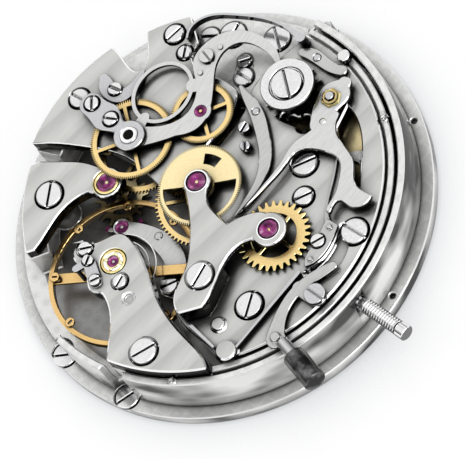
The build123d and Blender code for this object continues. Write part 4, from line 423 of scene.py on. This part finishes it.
def turned(name, places, profile, body, look, replaced=(), steps=ROUND):
    """Round pieces from a profile of distances along an axis and radii. Each place is a start, an axis and a side.

    A profile that ends where it starts makes a ring, and any other is capped at both ends."""
    corners, faces = [], []
    is_ring = profile[0] == profile[-1]
    rows = profile[:-1] if is_ring else profile
    for start, axis, side in places:
        other = axis.cross(side)
        base = len(corners)
        for along, radius in rows:
            for step in range(steps):
                turn = 2 * math.pi * step / steps
                outward = side * math.cos(turn) + other * math.sin(turn)
                corners.append((start + axis * along + outward * radius) * MM)
        circles = [[base + row * steps + step for step in range(steps)] for row in range(len(rows))]
        following = circles[1:] + circles[:1] if is_ring else circles[1:]
        for lower, upper in zip(circles, following):
            for step in range(steps):
                after = (step + 1) % steps
                faces.append((lower[step], lower[after], upper[after], upper[step]))
        if not is_ring:
            faces.append(circles[0][::-1])
            faces.append(circles[-1])
    mesh = bpy.data.meshes.new(name)
    mesh.from_pydata(corners, [], faces)
    mesh.validate()
    mesh.update()
    made = bpy.data.objects.new(name, mesh)
    scene.collection.objects.link(made)
    mesh.materials.append(look)
    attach(made, body)
    if replaced:
        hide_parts(*replaced)


def top_of(name, place, reach):
    """The greatest height of a piece near a place in plan."""
    points = [corner.co / MM for corner in nodes[name].data.vertices]
    return max(point.z for point in points if math.hypot(point.x - place[0], point.y - place[1]) < reach)


X_WAY, Y_WAY, Z_WAY = Vector((1, 0, 0)), Vector((0, 1, 0)), Vector((0, 0, 1))
CENTRE, MINUTE, ESCAPE, BALANCE = (0.0, 0.0), (6.7, 0.12), (-6.15, -3.35), (-1.65, -7.5)
FOURTH, COUPLING, PALLET, HAMMER = (-6.5, 0.0), (-3.463, 4.153), (-4.463, -4.906), (3.72, 9.87)


def above(place, height):
    return Vector((place[0], place[1], height)), Z_WAY, X_WAY


# Jewel with an oil cup: depths below its top, with radii or shares of its radius
CUP_ROUNDING, CUP_LIP = 0.04, 0.02
CUP_SHARES = [(-0.02, 0.72), (-0.12, 0.42), (-0.15, 0.36), (-0.06, 0.3)]
PIVOT = [(-0.06, 0.13), (-0.16, 0.12)]


def cup(radius, thickness):
    hollow = [(depth, radius * share) for depth, share in CUP_SHARES]
    return [(-thickness, radius), (-CUP_LIP, radius), (0, radius - CUP_ROUNDING)] + hollow + PIVOT


def flat_ring(inner, outer, rise):
    return [(0, inner), (rise, inner), (rise, outer), (0, outer), (0, inner)]


# Jewels, by their radius, thickness and the reach in which their top is found
JEWEL_RADIUS, JEWEL_THICKNESS, JEWEL_FIND = 0.68, 0.28, 0.75
BALANCE_JEWEL_RADIUS = 0.4
PALLET_JEWEL_RADIUS, PALLET_JEWEL_THICKNESS, PALLET_FIND = 0.45, 0.3, 0.5
CLUTCH_JEWEL_RADIUS, CLUTCH_JEWEL_THICKNESS, CLUTCH_FIND = 0.44, 0.24, 0.6
jewel_top = {place: top_of("bridge_jewels", place, JEWEL_FIND) for place in (CENTRE, MINUTE, ESCAPE, BALANCE)}
large = [above(place, jewel_top[place]) for place in (CENTRE, MINUTE, ESCAPE)]
on_balance = [above(BALANCE, jewel_top[BALANCE])]
on_pallet = [above(PALLET, top_of("bridge_jewels", PALLET, PALLET_FIND))]
on_clutch = [above(COUPLING, top_of("clutch_jewel", COUPLING, CLUTCH_FIND))]
turned("jewel_cups", large, cup(JEWEL_RADIUS, JEWEL_THICKNESS), "frame", ruby, ["bridge_jewels"])
turned("balance_jewel_cup", on_balance, cup(BALANCE_JEWEL_RADIUS, JEWEL_THICKNESS), "frame", ruby)
turned("pallet_jewel_cup", on_pallet, cup(PALLET_JEWEL_RADIUS, PALLET_JEWEL_THICKNESS), "frame", ruby)
turned("clutch_jewel_cup", on_clutch, cup(CLUTCH_JEWEL_RADIUS, CLUTCH_JEWEL_THICKNESS), "clutch", ruby,
       ["clutch_jewel"])

# Painted shade: a thin black ring stands for the dark recess around the jewels of the chronograph bridge, with a
# polished edge whose pale colour is partly a painted highlight
RECESS_RISE, RECESS_RADII, EDGE_RADII = 0.06, (0.67, 0.76), (0.76, 0.83)
RECESS_THICKNESS, EDGE_THICKNESS = 0.004, 0.006
sunk = [above(place, jewel_top[place] + RECESS_RISE) for place in (CENTRE, MINUTE)]
turned("jewel_recess", sunk, flat_ring(*RECESS_RADII, RECESS_THICKNESS), "frame", painted_hollow_shade)
turned("jewel_recess_edge", sunk, flat_ring(*EDGE_RADII, EDGE_THICKNESS), "frame", polished_rim_highlight)

# Setting of the balance jewel, with four lobes
SETTING = [(-0.28, 0.41), (0.03, 0.41), (0.05, 0.44), (0.05, 0.5), (0.02, 0.52), (-0.28, 0.52), (-0.28, 0.41)]
SETTING_FLOOR_RADII, SETTING_FLOOR_RISE = (0.5, 0.7), -0.05
LOBE, LOBE_COUNT, LOBE_TURN, LOBE_CIRCLE, LOBE_DEPTH = [(0, 0.13), (0.12, 0.13), (0.15, 0.1)], 4, 0.4, 0.55, 0.08
turned("balance_setting", on_balance, SETTING, "frame", gold)
# The floor ring of the setting is polished, its pale colour partly a painted highlight
turned("balance_setting_floor", on_balance, flat_ring(*SETTING_FLOOR_RADII, SETTING_FLOOR_RISE), "frame",
       polished_rim_highlight)
lobes = []
for number in range(LOBE_COUNT):
    turn = LOBE_TURN + 2 * math.pi * number / LOBE_COUNT
    spot = (BALANCE[0] + LOBE_CIRCLE * math.cos(turn), BALANCE[1] + LOBE_CIRCLE * math.sin(turn))
    lobes.append(above(spot, jewel_top[BALANCE] - LOBE_DEPTH))
turned("balance_setting_lobes", lobes, LOBE, "frame", gold)

# Six-sided nut with a round ring on the hammer's axis
NUT = [(0, 0.4), (0.26, 0.4), (0.26, 0.5), (0.15, 0.52), (0.12, 0.68), (0.0, 0.76), (0, 0.4)]
NUT_RING = [(0.13, 0.37), (0.25, 0.37), (0.28, 0.42), (0.28, 0.48), (0.24, 0.54), (0.13, 0.56), (0.13, 0.37)]
HAMMER_FIND = 1.2
on_hammer = [above(HAMMER, top_of("reset_hammer", HAMMER, HAMMER_FIND))]
turned("hammer_nut", on_hammer, NUT, "hammer", deep_gold, ["hammer_bush"], SIX_SIDED)
turned("hammer_nut_ring", on_hammer, NUT_RING, "hammer", deep_gold)

# Eyelet of the driving wheel's cock, with a black disc as painted shade in its hole and a polished ring whose pale
# colour is partly a painted highlight
EYELET = [(-0.02, 0.36), (0.05, 0.38), (0.07, 0.46), (0.05, 0.58), (-0.02, 0.62), (-0.02, 0.36)]
EYELET_HOLE = [(-0.02, 0.37), (0.0, 0.37), (0.0, 0.34)]
EYELET_FIND = 0.9
on_fourth = [above(FOURTH, top_of("driving_wheel_cock", FOURTH, EYELET_FIND))]
turned("eyelet_ring", on_fourth, EYELET, "frame", polished_rim_highlight)
turned("eyelet_hole", on_fourth, EYELET_HOLE, "frame", painted_hollow_shade)

# Winding stem with its thread and the thicker end
STEM_START = Vector((6.7, 0, 3.3))
SHANK = [(0, 0.22), (0.6, 0.22), (0.6, 0.26), (2.7, 0.26), (2.7, 0.36), (3.43, 0.36), (3.43, 0.28), (3.78, 0.28),
         (3.78, 0.36), (7.9, 0.36)]
RIDGE = [(0, 0.42), (0.07, 0.53), (0.11, 0.53), (0.18, 0.42)]
RIDGE_COUNT, RIDGES_START, RIDGE_PITCH = 14, 7.95, 0.215
STEM_END = [(10.98, 0.42), (11.0, 0.52), (11.03, 0.55), (11.66, 0.55), (11.7, 0.5)]
ridges = [(RIDGES_START + RIDGE_PITCH * number + along, radius) for number in range(RIDGE_COUNT)
          for along, radius in RIDGE]
turned("threaded_stem", [(STEM_START, X_WAY, Y_WAY)], SHANK + ridges + STEM_END, "stem", screw_steel,
       ["winding_stem"])

# Round posts at the rim
POST_PLACE, POST_FOOT, POST = (2.06, 12.82), 2.0, [(0, 0.43), (2.95, 0.43), (3.0, 0.38)]
RIM_SCREW_PLACE, RIM_SCREW_FOOT, RIM_SCREW = (-1.04, 14.1), 1.5, [(0, 0.34), (2.45, 0.34), (2.5, 0.28)]
turned("rim_posts", [above(POST_PLACE, POST_FOOT)], POST, "frame", screw_steel)
turned("rim_screw", [above(RIM_SCREW_PLACE, RIM_SCREW_FOOT)], RIM_SCREW, "frame", screw_steel)


# Floor, white where it is seen, with a painted shadow around the object and the real shadow in its small diffuse
# share
FLOOR_GREY, FLOOR_ROUGHNESS, FLOOR_SIZE, FLOOR_DROP = 0.95, 0.8, 3, 0.05 * MM
SHADOW_REACH, SHADOW_SAMPLES = 14 * MM, 8
PAINTED_SHADOW_STOPS = [(0.35, (0.5, 0.51, 0.53)), (0.7, (0.88, 0.885, 0.895)), (0.88, grey(1.0))]
GLOW_STRENGTH, GLOW_SHARE = 1.04, 0.94


def seen_rays(tree, *kinds):
    """1 for any of these kinds of ray, and 0 for the others."""
    path = node(tree, "ShaderNodeLightPath")
    seen = path.outputs[kinds[0]]
    for kind in kinds[1:]:
        seen = maths(tree, "MAXIMUM", seen, path.outputs[kind])
    return seen, path


floor_material, tree, shader = material("floor")
shader.inputs["Base Color"].default_value = (*grey(FLOOR_GREY), 1)
shader.inputs["Roughness"].default_value = FLOOR_ROUGHNESS
glow = node(tree, "ShaderNodeEmission")
# Painted shadow: the glow that is seen darkens near the object
painted_shadow = ramp(tree, openness(tree, SHADOW_REACH, SHADOW_SAMPLES), PAINTED_SHADOW_STOPS)
tree.links.new(painted_shadow, glow.inputs["Color"])
glow.inputs["Strength"].default_value = GLOW_STRENGTH
mix = node(tree, "ShaderNodeMixShader")
seen, _ = seen_rays(tree, "Is Camera Ray", "Is Glossy Ray", "Is Transmission Ray")
tree.links.new(maths(tree, "MULTIPLY", seen, GLOW_SHARE), mix.inputs[0])
tree.links.new(shader.outputs[0], mix.inputs[1])
tree.links.new(glow.outputs[0], mix.inputs[2])
tree.links.new(mix.outputs[0], tree.nodes["Material Output"].inputs["Surface"])
bpy.ops.mesh.primitive_plane_add(size=FLOOR_SIZE, location=(0, 0, -FLOOR_DROP))
ground = bpy.context.object
ground.name = "floor"
ground.data.materials.append(floor_material)

# World, white where it is seen, with dark and light bands in the reflections
WORLD_STRENGTH, SEEN_GAIN = 0.4, 0.6
BANDS = [(0.0, 0.2), (0.3, 0.15), (0.42, 0.95), (0.56, 1.0), (0.66, 0.3), (0.8, 0.35), (0.9, 0.95), (1.0, 1.0)]
mirrored = Vector((-back.x, -back.y, back.z))
world = bpy.data.worlds.new("world")
scene.world = world
world.use_nodes = True
tree = world.node_tree
background = tree.nodes["Background"]
background.inputs["Color"].default_value = (*WHITE, 1)
seen, path = seen_rays(tree, "Is Camera Ray", "Is Transmission Ray")
split = node(tree, "ShaderNodeSeparateXYZ")
tree.links.new(node(tree, "ShaderNodeTexCoord").outputs["Generated"], split.inputs[0])
toward = maths(tree, "MULTIPLY", split.outputs[0], mirrored.x)
toward = maths(tree, "MULTIPLY_ADD", split.outputs[1], mirrored.y, toward)
toward = maths(tree, "MULTIPLY_ADD", split.outputs[2], mirrored.z, toward)
soft = ramp(tree, maths(tree, "MULTIPLY_ADD", toward, 0.5, 0.5), tones(BANDS))
glossy = maths(tree, "MULTIPLY", path.outputs["Is Glossy Ray"], maths(tree, "SUBTRACT", soft, WORLD_STRENGTH))
strength = maths(tree, "ADD", glossy, WORLD_STRENGTH)
tree.links.new(maths(tree, "MULTIPLY_ADD", seen, SEEN_GAIN, strength), background.inputs["Strength"])

# Lamps: name, direction, distance, size and power
LAMPS = [("key", 0.8 * mirrored - 0.35 * right + 0.2 * up, 0.7, 0.45, 0.25),
         ("side", 0.75 * right - 0.2 * up + 0.9 * back, 0.6, 0.4, 1.3),
         ("low", 0.4 * right - 0.6 * up + 0.7 * back, 0.7, 0.4, 0.5)]
for name, way, distance, size, power in LAMPS:
    data = bpy.data.lights.new(name, "AREA")
    data.size = size
    data.energy = power
    lamp = bpy.data.objects.new(name, data)
    place = way.normalized() * distance
    lamp.location = place
    lamp.rotation_euler = place.to_track_quat("Z", "Y").to_euler()
    scene.collection.objects.link(lamp)
